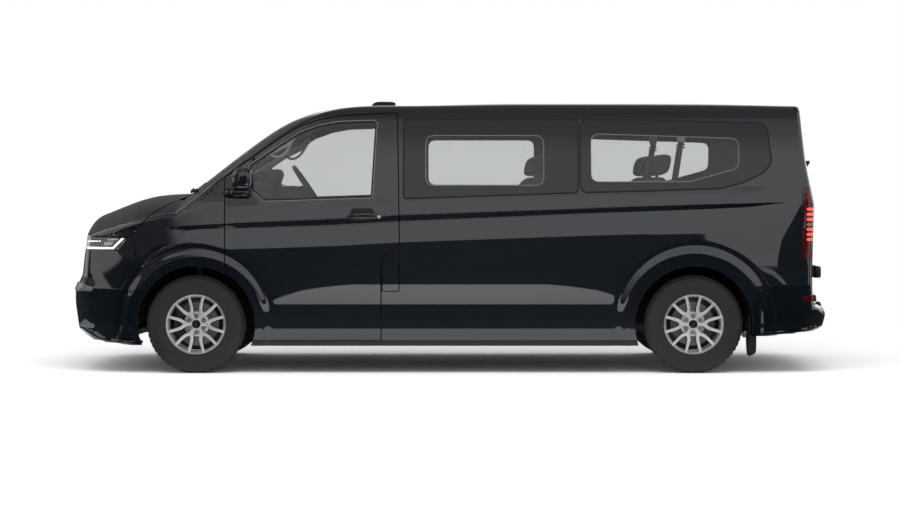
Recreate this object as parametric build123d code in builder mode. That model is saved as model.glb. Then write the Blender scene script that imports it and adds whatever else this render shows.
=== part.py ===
from build123d import *
import os

# A nine-seat minibus at full size, in millimetres.
# X runs along the vehicle with the nose at -X, Y across it with the left side at -Y, Z up from the road.
os.makedirs("parts", exist_ok=True)

# --- Driving dimensions ---
WHEELBASE = 3500
FRONT_AXLE_X = -1787
REAR_AXLE_X = FRONT_AXLE_X + WHEELBASE
TRACK = 1740
TYRE_R = 343
RIM_R = 219
NOSE_X = -2731
TAIL_X = 2731
HALF_WIDTH = 1016
SILL_Z = 192
ROOF_Z = 1908
WALL = 45
BONNET_WALL = 24
DOOR_SKIN = 12
DOOR_STEP = 22
GLASS_T = 5
SHUT_GAP = 6
NOSE_PIVOT_X = 1400
TAIL_PIVOT_X = -1850
SCREEN_FOOT_X = -1906
BONNET_CROWN_R = 4050
ARCH_R = 412
FLOOR_Z = 540
FLOOR_T = 40
ROOF_SEAM_Y = 800
RACK_X = 1100
RACK_SPACING_X = 1600
RACK_SPACING_Y = 1400
RACK_HOLE_R = 4.25
MUD_FLAP = (2136, 830, 240)
MUD_FLAP_SIZE = (8, 180, 240)
FAR = 2000

WHEEL_Z = TYRE_R
WHEEL_Y = TRACK / 2
AXLE_X = {"front": FRONT_AXLE_X, "rear": REAR_AXLE_X}
SIDE = {"left": -1, "right": 1}


# --- The body's outer form, drawn at any depth inside its skin ---
# An outline is a list of (u, v, on_arc) rows, anticlockwise. on_arc marks the middle point of an arc.
def inward(rows, depth):
    """Moves each point of a closed outline inwards, square to the sides that meet there."""
    moved = []
    for i, (u, v, on_arc) in enumerate(rows):
        before = Vector(*rows[i - 1][:2])
        after = Vector(*rows[(i + 1) % len(rows)][:2])
        a = (Vector(u, v) - before).normalized()
        b = (after - Vector(u, v)).normalized()
        middle = Vector(-a.Y - b.Y, a.X + b.X).normalized()
        reach = depth / max(0.35, middle.dot(Vector(-a.Y, a.X)))
        moved.append((u + middle.X * reach, v + middle.Y * reach, on_arc))
    return moved


def draw_outline(rows):
    """Joins an outline's points with lines and arcs, inside a BuildLine."""
    closed = rows + rows[:1]
    i = 0
    while i < len(rows):
        start = closed[i][:2]
        if closed[i + 1][2]:
            ThreePointArc(start, closed[i + 1][:2], closed[i + 2][:2])
            i += 2
        else:
            Line(start, closed[i + 1][:2])
            i += 1


def both_sides(rows):
    """A half outline and its mirror image about the v axis."""
    return rows + [(-u, v, on_arc) for u, v, on_arc in reversed(rows) if u > 0]


# Side view of the front: u is X, v is Z, from under the nose round to the roof.
FRONT_ROWS = [
    (2000, ROOF_Z, False), (100, ROOF_Z, False), (-953, 1862, False), (-1178, 1786, True),
    (-1393, 1652, False), (-1655, 1454, True), (SCREEN_FOOT_X, 1257, False),
    (SCREEN_FOOT_X, 1330, False), (-2500, 1330, False), (-2590, 1100, False), (-2645, 960, True),
    (-2664, 832, False), (-2680, 680, False), (NOSE_X, 572, False), (NOSE_X, 470, False),
    (-2706, 296, False), (-2590, 214, False), (-2440, 206, False),
]
# Side view of the rear: from the bumper's underside up over the tailgate and spoiler lip.
REAR_ROWS = [
    (2190, 248, False), (2490, 273, False), (2655, 294, False), (2709, 317, False), (TAIL_X, 411, False),
    (2695, 660, False), (2645, 710, False), (2652, 1193, False), (2590, 1500, True), (2550, 1820, False),
    (2540, 1888, False), (1860, ROOF_Z, False), (-2600, ROOF_Z, False),
]
# Cross section: u is the half width, v is Z.
SECTION_ROWS = [
    (0, -200, False), (945, -200, False), (962, 160, False), (HALF_WIDTH, 720, True), (992, 1200, False),
    (950, 1500, True), (892, 1780, False), (868, 1846, True), (812, 1888, False), (600, 1960, False),
    (0, 1960, False),
]
# Plan view: u is Y, v is X, from the tail to the nose.
PLAN_ROWS = [
    (0, -2800, False), (560, -2800, False), (560, -2710, False), (800, -2590, True), (948, -2350, False),
    (1000, -2120, True), (HALF_WIDTH, -1880, False), (HALF_WIDTH, 1900, False), (1008, 2200, True),
    (985, 2470, False), (925, 2600, True), (760, 2700, False), (600, 2800, False), (0, 2800, False),
]
# Centre line of the air over the bonnet: u is X, v is Z.
BONNET_AIR_ROWS = [
    (-1500, 1264, False), (-1500, 1700, False), (-3100, 1700, False), (-3100, 700, False),
    (-2700, 1020, False), (-2400, 1164, True), (-2170, 1239, False), (SCREEN_FOOT_X, 1257, False),
]


def front_half(inset):
    """Nose, windscreen and front roof: the centre line turned about a far upright axis."""
    upright = Axis((NOSE_PIVOT_X, 0, 0), (0, 0, 1))
    low = SILL_Z - 2 * inset
    rows = [(2000, low, False)] + FRONT_ROWS + [(-2440, low, False)]
    with BuildPart() as half:
        with BuildSketch(Plane.XZ):
            with BuildLine():
                draw_outline(inward(rows, inset))
            make_face()
            with Locations((NOSE_PIVOT_X - 2500, 1500)):
                Rectangle(5000, 3000, mode=Mode.INTERSECT)
        revolve(axis=upright)
    return half.part.rotate(upright, 180)


def rear_half(inset):
    """Rear roof, spoiler lip, tailgate and bumper: turned about an upright axis ahead of them."""
    upright = Axis((TAIL_PIVOT_X, 0, 0), (0, 0, 1))
    low = SILL_Z - 2 * inset
    rows = [(-2600, low, False), (2190, low, False)] + REAR_ROWS
    with BuildPart() as half:
        with BuildSketch(Plane.XZ):
            with BuildLine():
                draw_outline(inward(rows, inset))
            make_face()
            with Locations((TAIL_PIVOT_X + 2500, 1500)):
                Rectangle(5000, 3000, mode=Mode.INTERSECT)
        revolve(axis=upright)
    return half.part.rotate(upright, 180)


def above_bonnet(inset):
    """The air over the crowned bonnet, ahead of the windscreen's foot."""
    long_axis = Axis((0, 0, 1257 - BONNET_CROWN_R), (1, 0, 0))
    with BuildPart() as sheet:
        with BuildSketch(Plane.XZ):
            with BuildLine():
                draw_outline(inward(BONNET_AIR_ROWS, -inset))
            make_face()
        revolve(axis=long_axis, revolution_arc=50)
    with BuildPart() as air:
        add(sheet.part.rotate(long_axis, -25))
        with BuildSketch(Plane.XY.offset(500)):
            with Locations((NOSE_PIVOT_X, 0)):
                Circle(NOSE_PIVOT_X - SCREEN_FOOT_X - 1 - inset)
        extrude(amount=1600, mode=Mode.SUBTRACT)
    return air.part


def girth(inset):
    """Cross section and plan view cut from each other, the same all along the body."""
    with BuildPart() as tube:
        with BuildSketch(Plane.YZ.offset(-3000)):
            with BuildLine():
                draw_outline(inward(both_sides(SECTION_ROWS), inset))
            make_face()
        extrude(amount=6000)
        with BuildSketch(Plane(origin=(0, 0, -100), x_dir=(0, 1, 0), z_dir=(0, 0, -1))):
            with BuildLine():
                draw_outline(inward(both_sides(PLAN_ROWS), inset))
            make_face()
        extrude(amount=-2200, mode=Mode.INTERSECT)
    return tube.part


def body_form(inset):
    """The whole closed body: side view, cross section and plan view cut from one another."""
    with BuildPart() as front:
        add(girth(inset))
        with BuildSketch(Plane.YZ.offset(NOSE_PIVOT_X)):
            Rectangle(4 * FAR, 4 * FAR)
        extrude(amount=2 * FAR, mode=Mode.SUBTRACT)
        add(front_half(inset), mode=Mode.INTERSECT)
        add(above_bonnet(inset), mode=Mode.SUBTRACT)
    with BuildPart() as rear:
        add(girth(inset))
        with BuildSketch(Plane.YZ.offset(NOSE_PIVOT_X)):
            Rectangle(4 * FAR, 4 * FAR)
        extrude(amount=-3 * FAR, mode=Mode.SUBTRACT)
        add(rear_half(inset), mode=Mode.INTERSECT)
    with BuildPart() as whole:
        add(front.part)
        add(rear.part)
    return whole.part


OUTER = body_form(0)
SKIN_BACK = body_form(DOOR_SKIN)
GLASS_BACK = body_form(GLASS_T)
BONNET_BACK = body_form(BONNET_WALL)
INNER = body_form(WALL)


def finish(builder, name):
    builder.part.label = name
    export_step(builder.part, f"parts/{name}.step")


# --- Zones: the prisms that part one panel from the next ---
def side_zone(points, near, far):
    """A side-view polygon of (x, z) points, from y = near to y = far."""
    with BuildPart() as zone:
        with BuildSketch(Plane.XZ.offset(-near)):
            with BuildLine():
                Polyline(points, close=True)
            make_face()
        extrude(amount=near - far)
    return zone.part


def grown_side_zone(points, gap, near, far):
    """The same, with every side moved out by a gap."""
    with BuildPart() as zone:
        with BuildSketch(Plane.XZ.offset(-near)):
            with BuildLine():
                Polyline(points, close=True)
            make_face()
            offset(amount=gap, kind=Kind.ARC)
        extrude(amount=near - far)
    return zone.part


def plan_zone(points, low, high):
    """A plan-view polygon of (x, y) points, from z = low to z = high."""
    with BuildPart() as zone:
        with BuildSketch(Plane.XY.offset(low)):
            with BuildLine():
                Polyline(points, close=True)
            make_face()
        extrude(amount=high - low)
    return zone.part


def block(x, y, z):
    """A box between two values along each axis."""
    with BuildPart() as box:
        with Locations(((x[0] + x[1]) / 2, (y[0] + y[1]) / 2, (z[0] + z[1]) / 2)):
            Box(x[1] - x[0], y[1] - y[0], z[1] - z[0])
    return box.part


def ring_zone(inner_r, outer_r, low, high):
    """An upright ring about the nose's pivot, between two radii."""
    with BuildPart() as ring:
        with BuildSketch(Plane.XY.offset(low)):
            with Locations((NOSE_PIVOT_X, 0)):
                Circle(outer_r)
                Circle(inner_r, mode=Mode.SUBTRACT)
        extrude(amount=high - low)
    return ring.part


def arch_zone(radius, near, far):
    """Both wheel openings of one side."""
    with BuildPart() as openings:
        with BuildSketch(Plane.XZ.offset(-near)):
            with Locations((FRONT_AXLE_X, WHEEL_Z), (REAR_AXLE_X, WHEEL_Z)):
                Circle(radius)
        extrude(amount=near - far)
    return openings.part


# Shut lines and window edges, as (x, z) in side view.
DOOR_FRONT_X = -1575
DOOR_TOP = [
    (-372, 1830), (-640, 1817), (-782, 1806), (-924, 1780), (-1066, 1727), (-1208, 1642), (-1423, 1490),
    (DOOR_FRONT_X, 1376),
]
DOOR_REAR = {
    "left": [(-486, 234), (-486, 790), (-474, 822), (-357, 903)],
    "right": [(-353, 234), (-357, 903)],
}
DOOR_WINDOW = [
    (-1405, 1462), (-1405, 1302), (-1297, 1212), (-545, 1236), (-518, 1700), (-512, 1758), (-535, 1776),
    (-780, 1768), (-920, 1742), (-1050, 1696), (-1190, 1608),
]
SIDE_GLASS = [(-327, 1226), (900, 1268), (900, 1790), (-327, 1790)]
SIDE_HOLE = [
    (-172, 1358), (-132, 1318), (620, 1318), (660, 1358),
    (660, 1633), (620, 1673), (-132, 1673), (-172, 1633),
]
QUARTER_GLASS = [
    (912, 1268), (1416, 1281), (1900, 1299), (2053, 1338), (2195, 1406), (2257, 1477), (2232, 1720),
    (2195, 1762), (912, 1790),
]
QUARTER_HOLE = [
    (988, 1384), (1028, 1344), (1660, 1344), (1790, 1368), (1990, 1428),
    (2028, 1460), (2028, 1612), (1992, 1652), (1028, 1686), (988, 1648),
]
SLIDING_DOOR = [(-340, 234), (903, 234), (903, 1828), (-320, 1828), (-340, 1808)]
FUEL_FLAP = [(-474, 580), (-356, 580), (-356, 870), (-474, 790)]
BONNET_EDGE = [(-1880, 1262), (-2087, 1138), (-2187, 1024), (-2262, 962)]
BONNET_ZONE = BONNET_EDGE + [(-3000, 962), (-3000, 1500), (-1880, 1500)]
LAMP_ZONE = [(-2800, 868), (-2330, 868), (-2268, 950), (-2800, 956)]
FRONT_BUMPER_ZONE = [(-3000, 100), (-2100, 100), (-2100, 640), (-2208, 704), (-2336, 862), (-3000, 862)]
FENDER_ZONE = [
    (-1581, 100), (-1581, 1262), (-1880, 1262), (-2087, 1138), (-2187, 1024), (-2262, 956), (-2330, 862),
    (-2208, 704), (-2100, 640), (-2100, 100),
]
REAR_BUMPER_ZONE = [(2010, 100), (2125, 560), (2240, 690), (2900, 690), (2900, 100)]
TAIL_LAMP_ZONE = [(2471, 804), (2800, 804), (2800, 1301), (2471, 1301)]
TAILGATE_X = 2436
TAILGATE_Y = 850
TAILGATE_Z = 706
HEADER_R = NOSE_PIVOT_X + 960
SCREEN_FOOT_R = NOSE_PIVOT_X - SCREEN_FOOT_X - 28
BONNET_REAR_R = NOSE_PIVOT_X - SCREEN_FOOT_X + 16


def outward(side, points, gap=0):
    """A side-view zone through one side of the body."""
    if gap:
        return grown_side_zone(points, gap, SIDE[side] * 500, SIDE[side] * FAR)
    return side_zone(points, SIDE[side] * 500, SIDE[side] * FAR)


def door_points(side):
    return [(DOOR_FRONT_X, 234)] + DOOR_REAR[side] + DOOR_TOP


screen_zone = plan_zone([(-2000, -790), (-700, -640), (-700, 640), (-2000, 790)], 1278, 2000)
screen_zone = screen_zone & ring_zone(HEADER_R, SCREEN_FOOT_R, 1270, 2100)
roof_zone = plan_zone(
    [(-1000, -664), (-880, -664), (-880, -ROOF_SEAM_Y), (2432, -ROOF_SEAM_Y), (2432, ROOF_SEAM_Y),
     (-880, ROOF_SEAM_Y), (-880, 664), (-1000, 664)], 1700, 2100)
tailgate_zone = block((TAILGATE_X, 2900), (-TAILGATE_Y, TAILGATE_Y), (TAILGATE_Z, 2100))
tailgate_hole = block(
    (TAILGATE_X - SHUT_GAP, 2900),
    (-TAILGATE_Y - SHUT_GAP, TAILGATE_Y + SHUT_GAP),
    (TAILGATE_Z - SHUT_GAP, 2100))
front_end_zone = side_zone([(-1581, 0), (-1581, 1262), (-3000, 1262), (-3000, 0)], -FAR, FAR)
rear_bumper_zone = side_zone(REAR_BUMPER_ZONE, -FAR, FAR)
front_bumper_zone = side_zone(FRONT_BUMPER_ZONE, -FAR, FAR)

bonnet_zone = side_zone(BONNET_ZONE, -FAR, FAR) - ring_zone(10, BONNET_REAR_R, 900, 1600)
bonnet_hole = grown_side_zone(BONNET_ZONE, SHUT_GAP, -FAR, FAR) - ring_zone(
    10, BONNET_REAR_R - SHUT_GAP, 900, 1600)
lamp_zone = side_zone(LAMP_ZONE, -FAR, FAR) - block((-3000, -2000), (-470, 470), (800, 1000))

# --- Body shell ---
side_panels = {}
with BuildPart() as roof_panel:
    add(OUTER)
    add(INNER, mode=Mode.SUBTRACT)
    add(roof_zone, mode=Mode.INTERSECT)
    add(screen_zone, mode=Mode.SUBTRACT)
    with BuildSketch(Plane.XY.offset(1800)):
        with Locations((RACK_X, 0)):
            with GridLocations(RACK_SPACING_X, RACK_SPACING_Y, 2, 2):
                Circle(RACK_HOLE_R)
    extrude(amount=200, mode=Mode.SUBTRACT)
finish(roof_panel, "roof_panel")

with BuildPart() as windscreen:
    add(OUTER)
    add(GLASS_BACK, mode=Mode.SUBTRACT)
    add(screen_zone, mode=Mode.INTERSECT)
finish(windscreen, "windscreen")

for side in SIDE:
    way = SIDE[side]
    with BuildPart() as side_panel:
        add(OUTER)
        add(INNER, mode=Mode.SUBTRACT)
        add(block((-2000, 2700), sorted((way * 300, way * FAR)), (SILL_Z - 10, 2000)), mode=Mode.INTERSECT)
        for zone in (roof_zone, screen_zone, tailgate_hole, front_end_zone, rear_bumper_zone):
            add(zone, mode=Mode.SUBTRACT)
        add(arch_zone(ARCH_R, way * 500, way * FAR), mode=Mode.SUBTRACT)
        add(outward(side, door_points(side), SHUT_GAP), mode=Mode.SUBTRACT)
        add(outward(side, TAIL_LAMP_ZONE), mode=Mode.SUBTRACT)
        add(outward(side, QUARTER_HOLE), mode=Mode.SUBTRACT)
        add(outward(side, QUARTER_GLASS) - GLASS_BACK, mode=Mode.SUBTRACT)
        if side == "left":
            add(outward(side, FUEL_FLAP, SHUT_GAP) - SKIN_BACK, mode=Mode.SUBTRACT)
            add(outward(side, SIDE_HOLE), mode=Mode.SUBTRACT)
            add(outward(side, SIDE_GLASS) - GLASS_BACK, mode=Mode.SUBTRACT)
        else:
            add(outward(side, SLIDING_DOOR, SHUT_GAP), mode=Mode.SUBTRACT)
    side_panels[side] = side_panel.part
    finish(side_panel, f"side_panel_{side}")

with BuildPart() as sliding_door:
    add(OUTER)
    add(INNER, mode=Mode.SUBTRACT)
    add(outward("right", SLIDING_DOOR), mode=Mode.INTERSECT)
    add(outward("right", SIDE_HOLE), mode=Mode.SUBTRACT)
    add(outward("right", SIDE_GLASS) - GLASS_BACK, mode=Mode.SUBTRACT)
finish(sliding_door, "sliding_door")

with BuildPart() as side_windows:
    add(OUTER)
    add(GLASS_BACK, mode=Mode.SUBTRACT)
    add(outward("left", SIDE_GLASS) + outward("left", QUARTER_GLASS) + outward("right", SIDE_GLASS)
        + outward("right", QUARTER_GLASS), mode=Mode.INTERSECT)
finish(side_windows, "side_windows")

# --- Front doors: an outer skin with a deeper frame set in from its edges, so that it swings clear ---
for side in SIDE:
    way = SIDE[side]
    with BuildPart() as door_skin:
        add(OUTER)
        add(SKIN_BACK, mode=Mode.SUBTRACT)
        add(outward(side, door_points(side)), mode=Mode.INTERSECT)
        add(arch_zone(ARCH_R + SHUT_GAP, way * 500, way * FAR), mode=Mode.SUBTRACT)
    with BuildPart() as door_frame:
        add(SKIN_BACK)
        add(INNER, mode=Mode.SUBTRACT)
        add(outward(side, door_points(side), -DOOR_STEP), mode=Mode.INTERSECT)
        add(arch_zone(ARCH_R + DOOR_STEP, way * 500, way * FAR), mode=Mode.SUBTRACT)
    with BuildPart() as front_door:
        add(door_skin.part)
        add(door_frame.part)
        add(outward(side, DOOR_WINDOW), mode=Mode.SUBTRACT)
    finish(front_door, f"front_door_{side}")

    with BuildPart() as door_glass:
        add(OUTER)
        add(GLASS_BACK, mode=Mode.SUBTRACT)
        add(outward(side, DOOR_WINDOW), mode=Mode.INTERSECT)
    finish(door_glass, f"door_glass_{side}")

# --- Bonnet, front wings, lamps, grille and bumper ---
with BuildPart() as bonnet:
    add(OUTER)
    add(BONNET_BACK, mode=Mode.SUBTRACT)
    add(bonnet_zone, mode=Mode.INTERSECT)
finish(bonnet, "bonnet")

with BuildPart() as front_wings:
    add(OUTER)
    add(INNER, mode=Mode.SUBTRACT)
    add(side_zone(FENDER_ZONE, -FAR, FAR), mode=Mode.INTERSECT)
    add(bonnet_hole, mode=Mode.SUBTRACT)
    add(lamp_zone, mode=Mode.SUBTRACT)
    add(block((-3000, -1000), (-700, 700), (0, 2000)), mode=Mode.SUBTRACT)
    for way in SIDE.values():
        add(arch_zone(ARCH_R, way * 500, way * FAR), mode=Mode.SUBTRACT)
finish(front_wings, "front_wings")

with BuildPart() as headlamps:
    add(OUTER)
    add(INNER, mode=Mode.SUBTRACT)
    add(lamp_zone, mode=Mode.INTERSECT)
finish(headlamps, "headlamps")

grille_zone = block((-3000, -2400), (-470, 470), (862, 956))
grille_zone += block((-3000, -2400), (-560, 560), (300, 560))
with BuildPart() as grille:
    add(GLASS_BACK)
    add(INNER, mode=Mode.SUBTRACT)
    add(grille_zone, mode=Mode.INTERSECT)
    with BuildSketch(Plane.YZ.offset(-3000)):
        with Locations((0, 350), (0, 390), (0, 430), (0, 470), (0, 510)):
            Rectangle(1080, 20)
    extrude(amount=600, mode=Mode.SUBTRACT)
finish(grille, "grille")

with BuildPart() as front_bumper:
    add(OUTER)
    add(INNER, mode=Mode.SUBTRACT)
    add(front_bumper_zone, mode=Mode.INTERSECT)
    add(grille_zone, mode=Mode.SUBTRACT)
    for way in SIDE.values():
        add(arch_zone(ARCH_R, way * 500, way * FAR), mode=Mode.SUBTRACT)
finish(front_bumper, "front_bumper")

# --- Tailgate, rear glass, lamps and bumper ---
REAR_WINDOW = [(-700, 1270), (700, 1270), (640, 1740), (-640, 1740)]
with BuildPart() as rear_window_zone:
    with BuildSketch(Plane.YZ.offset(2300)):
        with BuildLine():
            Polyline(REAR_WINDOW, close=True)
        make_face()
    extrude(amount=600)
with BuildPart() as tailgate:
    add(OUTER)
    add(INNER, mode=Mode.SUBTRACT)
    add(tailgate_zone, mode=Mode.INTERSECT)
    add(rear_window_zone.part, mode=Mode.SUBTRACT)
    with BuildSketch(Plane.XZ.offset(-760)):
        with BuildLine():
            Polyline([(2500, 1850), (2500, 1884), (2545, 1884), (2607, 1864), (2600, 1850)], close=True)
        make_face()
    extrude(amount=1520)
finish(tailgate, "tailgate")

with BuildPart() as tailgate_glass:
    add(OUTER)
    add(GLASS_BACK, mode=Mode.SUBTRACT)
    add(rear_window_zone.part, mode=Mode.INTERSECT)
    add(tailgate_zone, mode=Mode.INTERSECT)
finish(tailgate_glass, "tailgate_glass")

with BuildPart() as tail_lamps:
    add(OUTER)
    add(INNER, mode=Mode.SUBTRACT)
    add(side_zone(TAIL_LAMP_ZONE, -FAR, FAR), mode=Mode.INTERSECT)
    add(tailgate_hole, mode=Mode.SUBTRACT)
finish(tail_lamps, "tail_lamps")

with BuildPart() as rear_bumper:
    add(OUTER)
    add(INNER, mode=Mode.SUBTRACT)
    add(rear_bumper_zone, mode=Mode.INTERSECT)
    add(block((-3000, 1000), (-FAR, FAR), (0, 2500)), mode=Mode.SUBTRACT)
    add(block((2240, 2800), (-45, 45), (200, 500)), mode=Mode.SUBTRACT)
    for way in SIDE.values():
        add(arch_zone(ARCH_R, way * 500, way * FAR), mode=Mode.SUBTRACT)
        with Locations((MUD_FLAP[0], way * MUD_FLAP[1], MUD_FLAP[2])):
            Box(*MUD_FLAP_SIZE, mode=Mode.SUBTRACT)
finish(rear_bumper, "rear_bumper")

with BuildPart() as fuel_flap:
    add(OUTER)
    add(SKIN_BACK, mode=Mode.SUBTRACT)
    add(outward("left", FUEL_FLAP), mode=Mode.INTERSECT)
finish(fuel_flap, "fuel_flap")

# --- Scuttle, bulkhead, floor and wheel housings ---
HOUSING_R = 428
HOUSING_T = 6
HOUSING_IN = 545
with BuildPart() as scuttle:
    add(OUTER)
    add(INNER, mode=Mode.SUBTRACT)
    add(block((-2100, -1581), (-1000, 1000), (1180, 1500)), mode=Mode.INTERSECT)
    add(bonnet_hole, mode=Mode.SUBTRACT)
    add(screen_zone, mode=Mode.SUBTRACT)
    add(side_zone(FENDER_ZONE, -FAR, FAR) - block((-3000, -1000), (-700, 700), (0, 2000)),
        mode=Mode.SUBTRACT)
    for panel in side_panels.values():
        add(panel, mode=Mode.SUBTRACT)
finish(scuttle, "scuttle")

with BuildPart() as bulkhead:
    add(INNER)
    add(block((-1880, -1840), (-1000, 1000), (300, 1230)), mode=Mode.INTERSECT)
    for way in SIDE.values():
        add(arch_zone(HOUSING_R + HOUSING_T, way * 480, way * FAR), mode=Mode.SUBTRACT)
        add(block((-1900, -1800), sorted((way * 430, way * 760)), (300, 880)), mode=Mode.SUBTRACT)
finish(bulkhead, "bulkhead")

with BuildPart() as floor_pan:
    add(INNER)
    add(block((-1840, 2600), (-1000, 1000), (FLOOR_Z - FLOOR_T, FLOOR_Z)), mode=Mode.INTERSECT)
    for way in SIDE.values():
        add(arch_zone(HOUSING_R + HOUSING_T, way * 480, way * FAR), mode=Mode.SUBTRACT)
finish(floor_pan, "floor_pan")

with BuildPart() as wheel_housings:
    for way in SIDE.values():
        add(arch_zone(HOUSING_R + HOUSING_T, way * 540, way * 900))
        add(arch_zone(HOUSING_R, way * HOUSING_IN, way * 901), mode=Mode.SUBTRACT)
    add(block((-3000, 3000), (-FAR, FAR), (-200, 330)), mode=Mode.SUBTRACT)
    with BuildSketch(Plane.XY.offset(700)):
        with Locations((FRONT_AXLE_X, -700), (FRONT_AXLE_X, 700)):
            Circle(46)
    extrude(amount=200, mode=Mode.SUBTRACT)
    with BuildSketch(Plane.XZ):
        with Locations((REAR_AXLE_X, WHEEL_Z)):
            Circle(60)
    extrude(amount=600, both=True, mode=Mode.SUBTRACT)
finish(wheel_housings, "wheel_housings")

# --- Wheels ---
SPOKES = 6
HUB_R = 95
RIM_IN_Y = -95
RIM_OUT_Y = 78
for axle in AXLE_X:
    for side in SIDE:
        way = SIDE[side]
        centre = Vector(AXLE_X[axle], way * WHEEL_Y, WHEEL_Z)
        # The wheel's own plane: local x along the vehicle, local y up, local z outwards.
        hub_plane = Plane(origin=centre, x_dir=(way, 0, 0), z_dir=(0, way, 0))
        tread_plane = Plane(origin=centre, x_dir=(0, way, 0), z_dir=(-way, 0, 0))
        turn = Axis(centre, (0, 1, 0))
        with BuildPart() as tyre:
            with BuildSketch(tread_plane) as tread:
                with BuildLine():
                    Polyline([(-88, RIM_R - 12), (-100, RIM_R + 12)])
                    ThreePointArc((-100, RIM_R + 12), (-108, 285), (-92, 330))
                    ThreePointArc((-92, 330), (-82, 339), (-68, TYRE_R - 1))
                    ThreePointArc((-68, TYRE_R - 1), (0, TYRE_R), (68, TYRE_R - 1))
                    ThreePointArc((68, TYRE_R - 1), (82, 339), (92, 330))
                    ThreePointArc((92, 330), (108, 285), (100, RIM_R + 12))
                    Polyline([(100, RIM_R + 12), (88, RIM_R - 12), (-88, RIM_R - 12)])
                make_face()
            revolve(axis=turn)
        finish(tyre, f"tyre_{axle}_{side}")

        with BuildPart() as wheel:
            with BuildSketch(hub_plane.offset(RIM_IN_Y)):
                Circle(RIM_R - 13)
                Circle(RIM_R - 24, mode=Mode.SUBTRACT)
            extrude(amount=RIM_OUT_Y - RIM_IN_Y)
            with BuildSketch(hub_plane.offset(RIM_OUT_Y - 6)):
                Circle(RIM_R - 13)
                Circle(RIM_R - 40, mode=Mode.SUBTRACT)
            extrude(amount=14)
            with BuildSketch(hub_plane.offset(40)):
                Circle(HUB_R)
                with PolarLocations(0, SPOKES):
                    with BuildLine():
                        Polyline([(20, 24), (105, 20), (190, 62), (198, 42), (205, 20), (120, 0)])
                        Polyline([(120, 0), (205, -20), (198, -42), (190, -62),
                                  (105, -20), (20, -24), (20, 24)])
                    make_face()
            extrude(amount=30)
            with BuildSketch(hub_plane.offset(70)):
                with PolarLocations(71, 6, start_angle=30):
                    Circle(13)
            extrude(amount=-18, mode=Mode.SUBTRACT)
            with BuildSketch(hub_plane.offset(-20)):
                Circle(HUB_R - 20)
                Circle(32, mode=Mode.SUBTRACT)
            extrude(amount=60)
            with BuildSketch(hub_plane.offset(-20)):
                Circle(155)
                Circle(32, mode=Mode.SUBTRACT)
            extrude(amount=24)
        finish(wheel, f"wheel_{axle}_{side}")

# --- Steering knuckles, front and rear suspension ---
STEER_Y = 735
KNUCKLE_TOP = 500
for side in SIDE:
    way = SIDE[side]
    with BuildPart() as knuckle:
        with BuildSketch(Plane(origin=(FRONT_AXLE_X, way * (STEER_Y + 90), WHEEL_Z), z_dir=(0, way, 0))):
            Circle(28)
        extrude(amount=-120)
        with Locations((FRONT_AXLE_X, way * STEER_Y, (KNUCKLE_TOP + 190) / 2)):
            Box(70, 44, KNUCKLE_TOP - 190)
        with Locations((FRONT_AXLE_X + 75, way * (STEER_Y - 10), 300)):
            Box(110, 30, 34)
        with Locations((FRONT_AXLE_X - 125, way * (WHEEL_Y - 30), WHEEL_Z)):
            Box(70, 100, 110)
        with Locations((FRONT_AXLE_X - 62, way * (STEER_Y + 25), WHEEL_Z)):
            Box(90, 80, 60)
        disc_plane = Plane(origin=(FRONT_AXLE_X, way * WHEEL_Y, WHEEL_Z), z_dir=(0, way, 0))
        with BuildSketch(disc_plane.offset(-26)):
            Circle(165)
        extrude(amount=36, mode=Mode.SUBTRACT)
        with BuildSketch(Plane.XZ.offset(-way * (STEER_Y + 20))):
            with Locations((FRONT_AXLE_X, WHEEL_Z)):
                Circle(28)
        extrude(amount=-way * 105)
    finish(knuckle, f"knuckle_{side}")

with BuildPart() as front_suspension:
    with Locations((FRONT_AXLE_X, 0, 240)):
        Box(260, 900, 90)
    for way in SIDE.values():
        with Locations((FRONT_AXLE_X, way * 560, 165)):
            Box(120, 260, 30)
        with Locations((FRONT_AXLE_X, way * 705, 171)):
            Box(80, 80, 26)
        with BuildSketch(Plane.XY.offset(KNUCKLE_TOP + 6)):
            with Locations((FRONT_AXLE_X, way * 700)):
                Circle(36)
        extrude(amount=340)
        with Locations((FRONT_AXLE_X, way * 610, 850)):
            Box(200, 240, 24)
        with Locations((FRONT_AXLE_X, way * 500, 630)):
            Box(200, 30, 464)
        with Locations((FRONT_AXLE_X, way * 470, 420)):
            Box(1100, 60, 110)
finish(front_suspension, "front_suspension")

with BuildPart() as rear_axle:
    with BuildSketch(Plane.XZ.offset(0)):
        with Locations((REAR_AXLE_X, WHEEL_Z)):
            Circle(45)
    extrude(amount=760, both=True)
    for way in SIDE.values():
        with Locations((REAR_AXLE_X - 330, way * 500, WHEEL_Z)):
            Box(700, 50, 70)
        with Locations((REAR_AXLE_X - 640, way * 500, 410)):
            Box(80, 60, 180)
        with BuildSketch(Plane.XZ.offset(-way * 750)):
            with Locations((REAR_AXLE_X, WHEEL_Z)):
                Circle(28)
        extrude(amount=-way * 110)
finish(rear_axle, "rear_axle")

# --- Engine, tank, exhaust ---
with BuildPart() as engine_block:
    with Locations((-2260, 0, 620)):
        Box(420, 760, 500)
    chamfer(engine_block.edges(), 20)
    with Locations((-2260, 0, 400)):
        Box(120, 880, 100)
finish(engine_block, "engine_block")

with BuildPart() as fuel_tank:
    with Locations((150, -420, 400)):
        Box(1200, 620, 200)
    fillet(fuel_tank.edges(), 40)
finish(fuel_tank, "fuel_tank")

with BuildPart() as exhaust:
    with BuildLine() as run:
        FilletPolyline([(-1500, 200, 440), (-600, 200, 440), (-300, 200, 250), (2050, 200, 250)],
                       radius=120)
    with BuildSketch(Plane(origin=run.line @ 0, z_dir=run.line % 0)):
        Circle(32)
        Circle(28, mode=Mode.SUBTRACT)
    sweep()
finish(exhaust, "exhaust")

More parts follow.
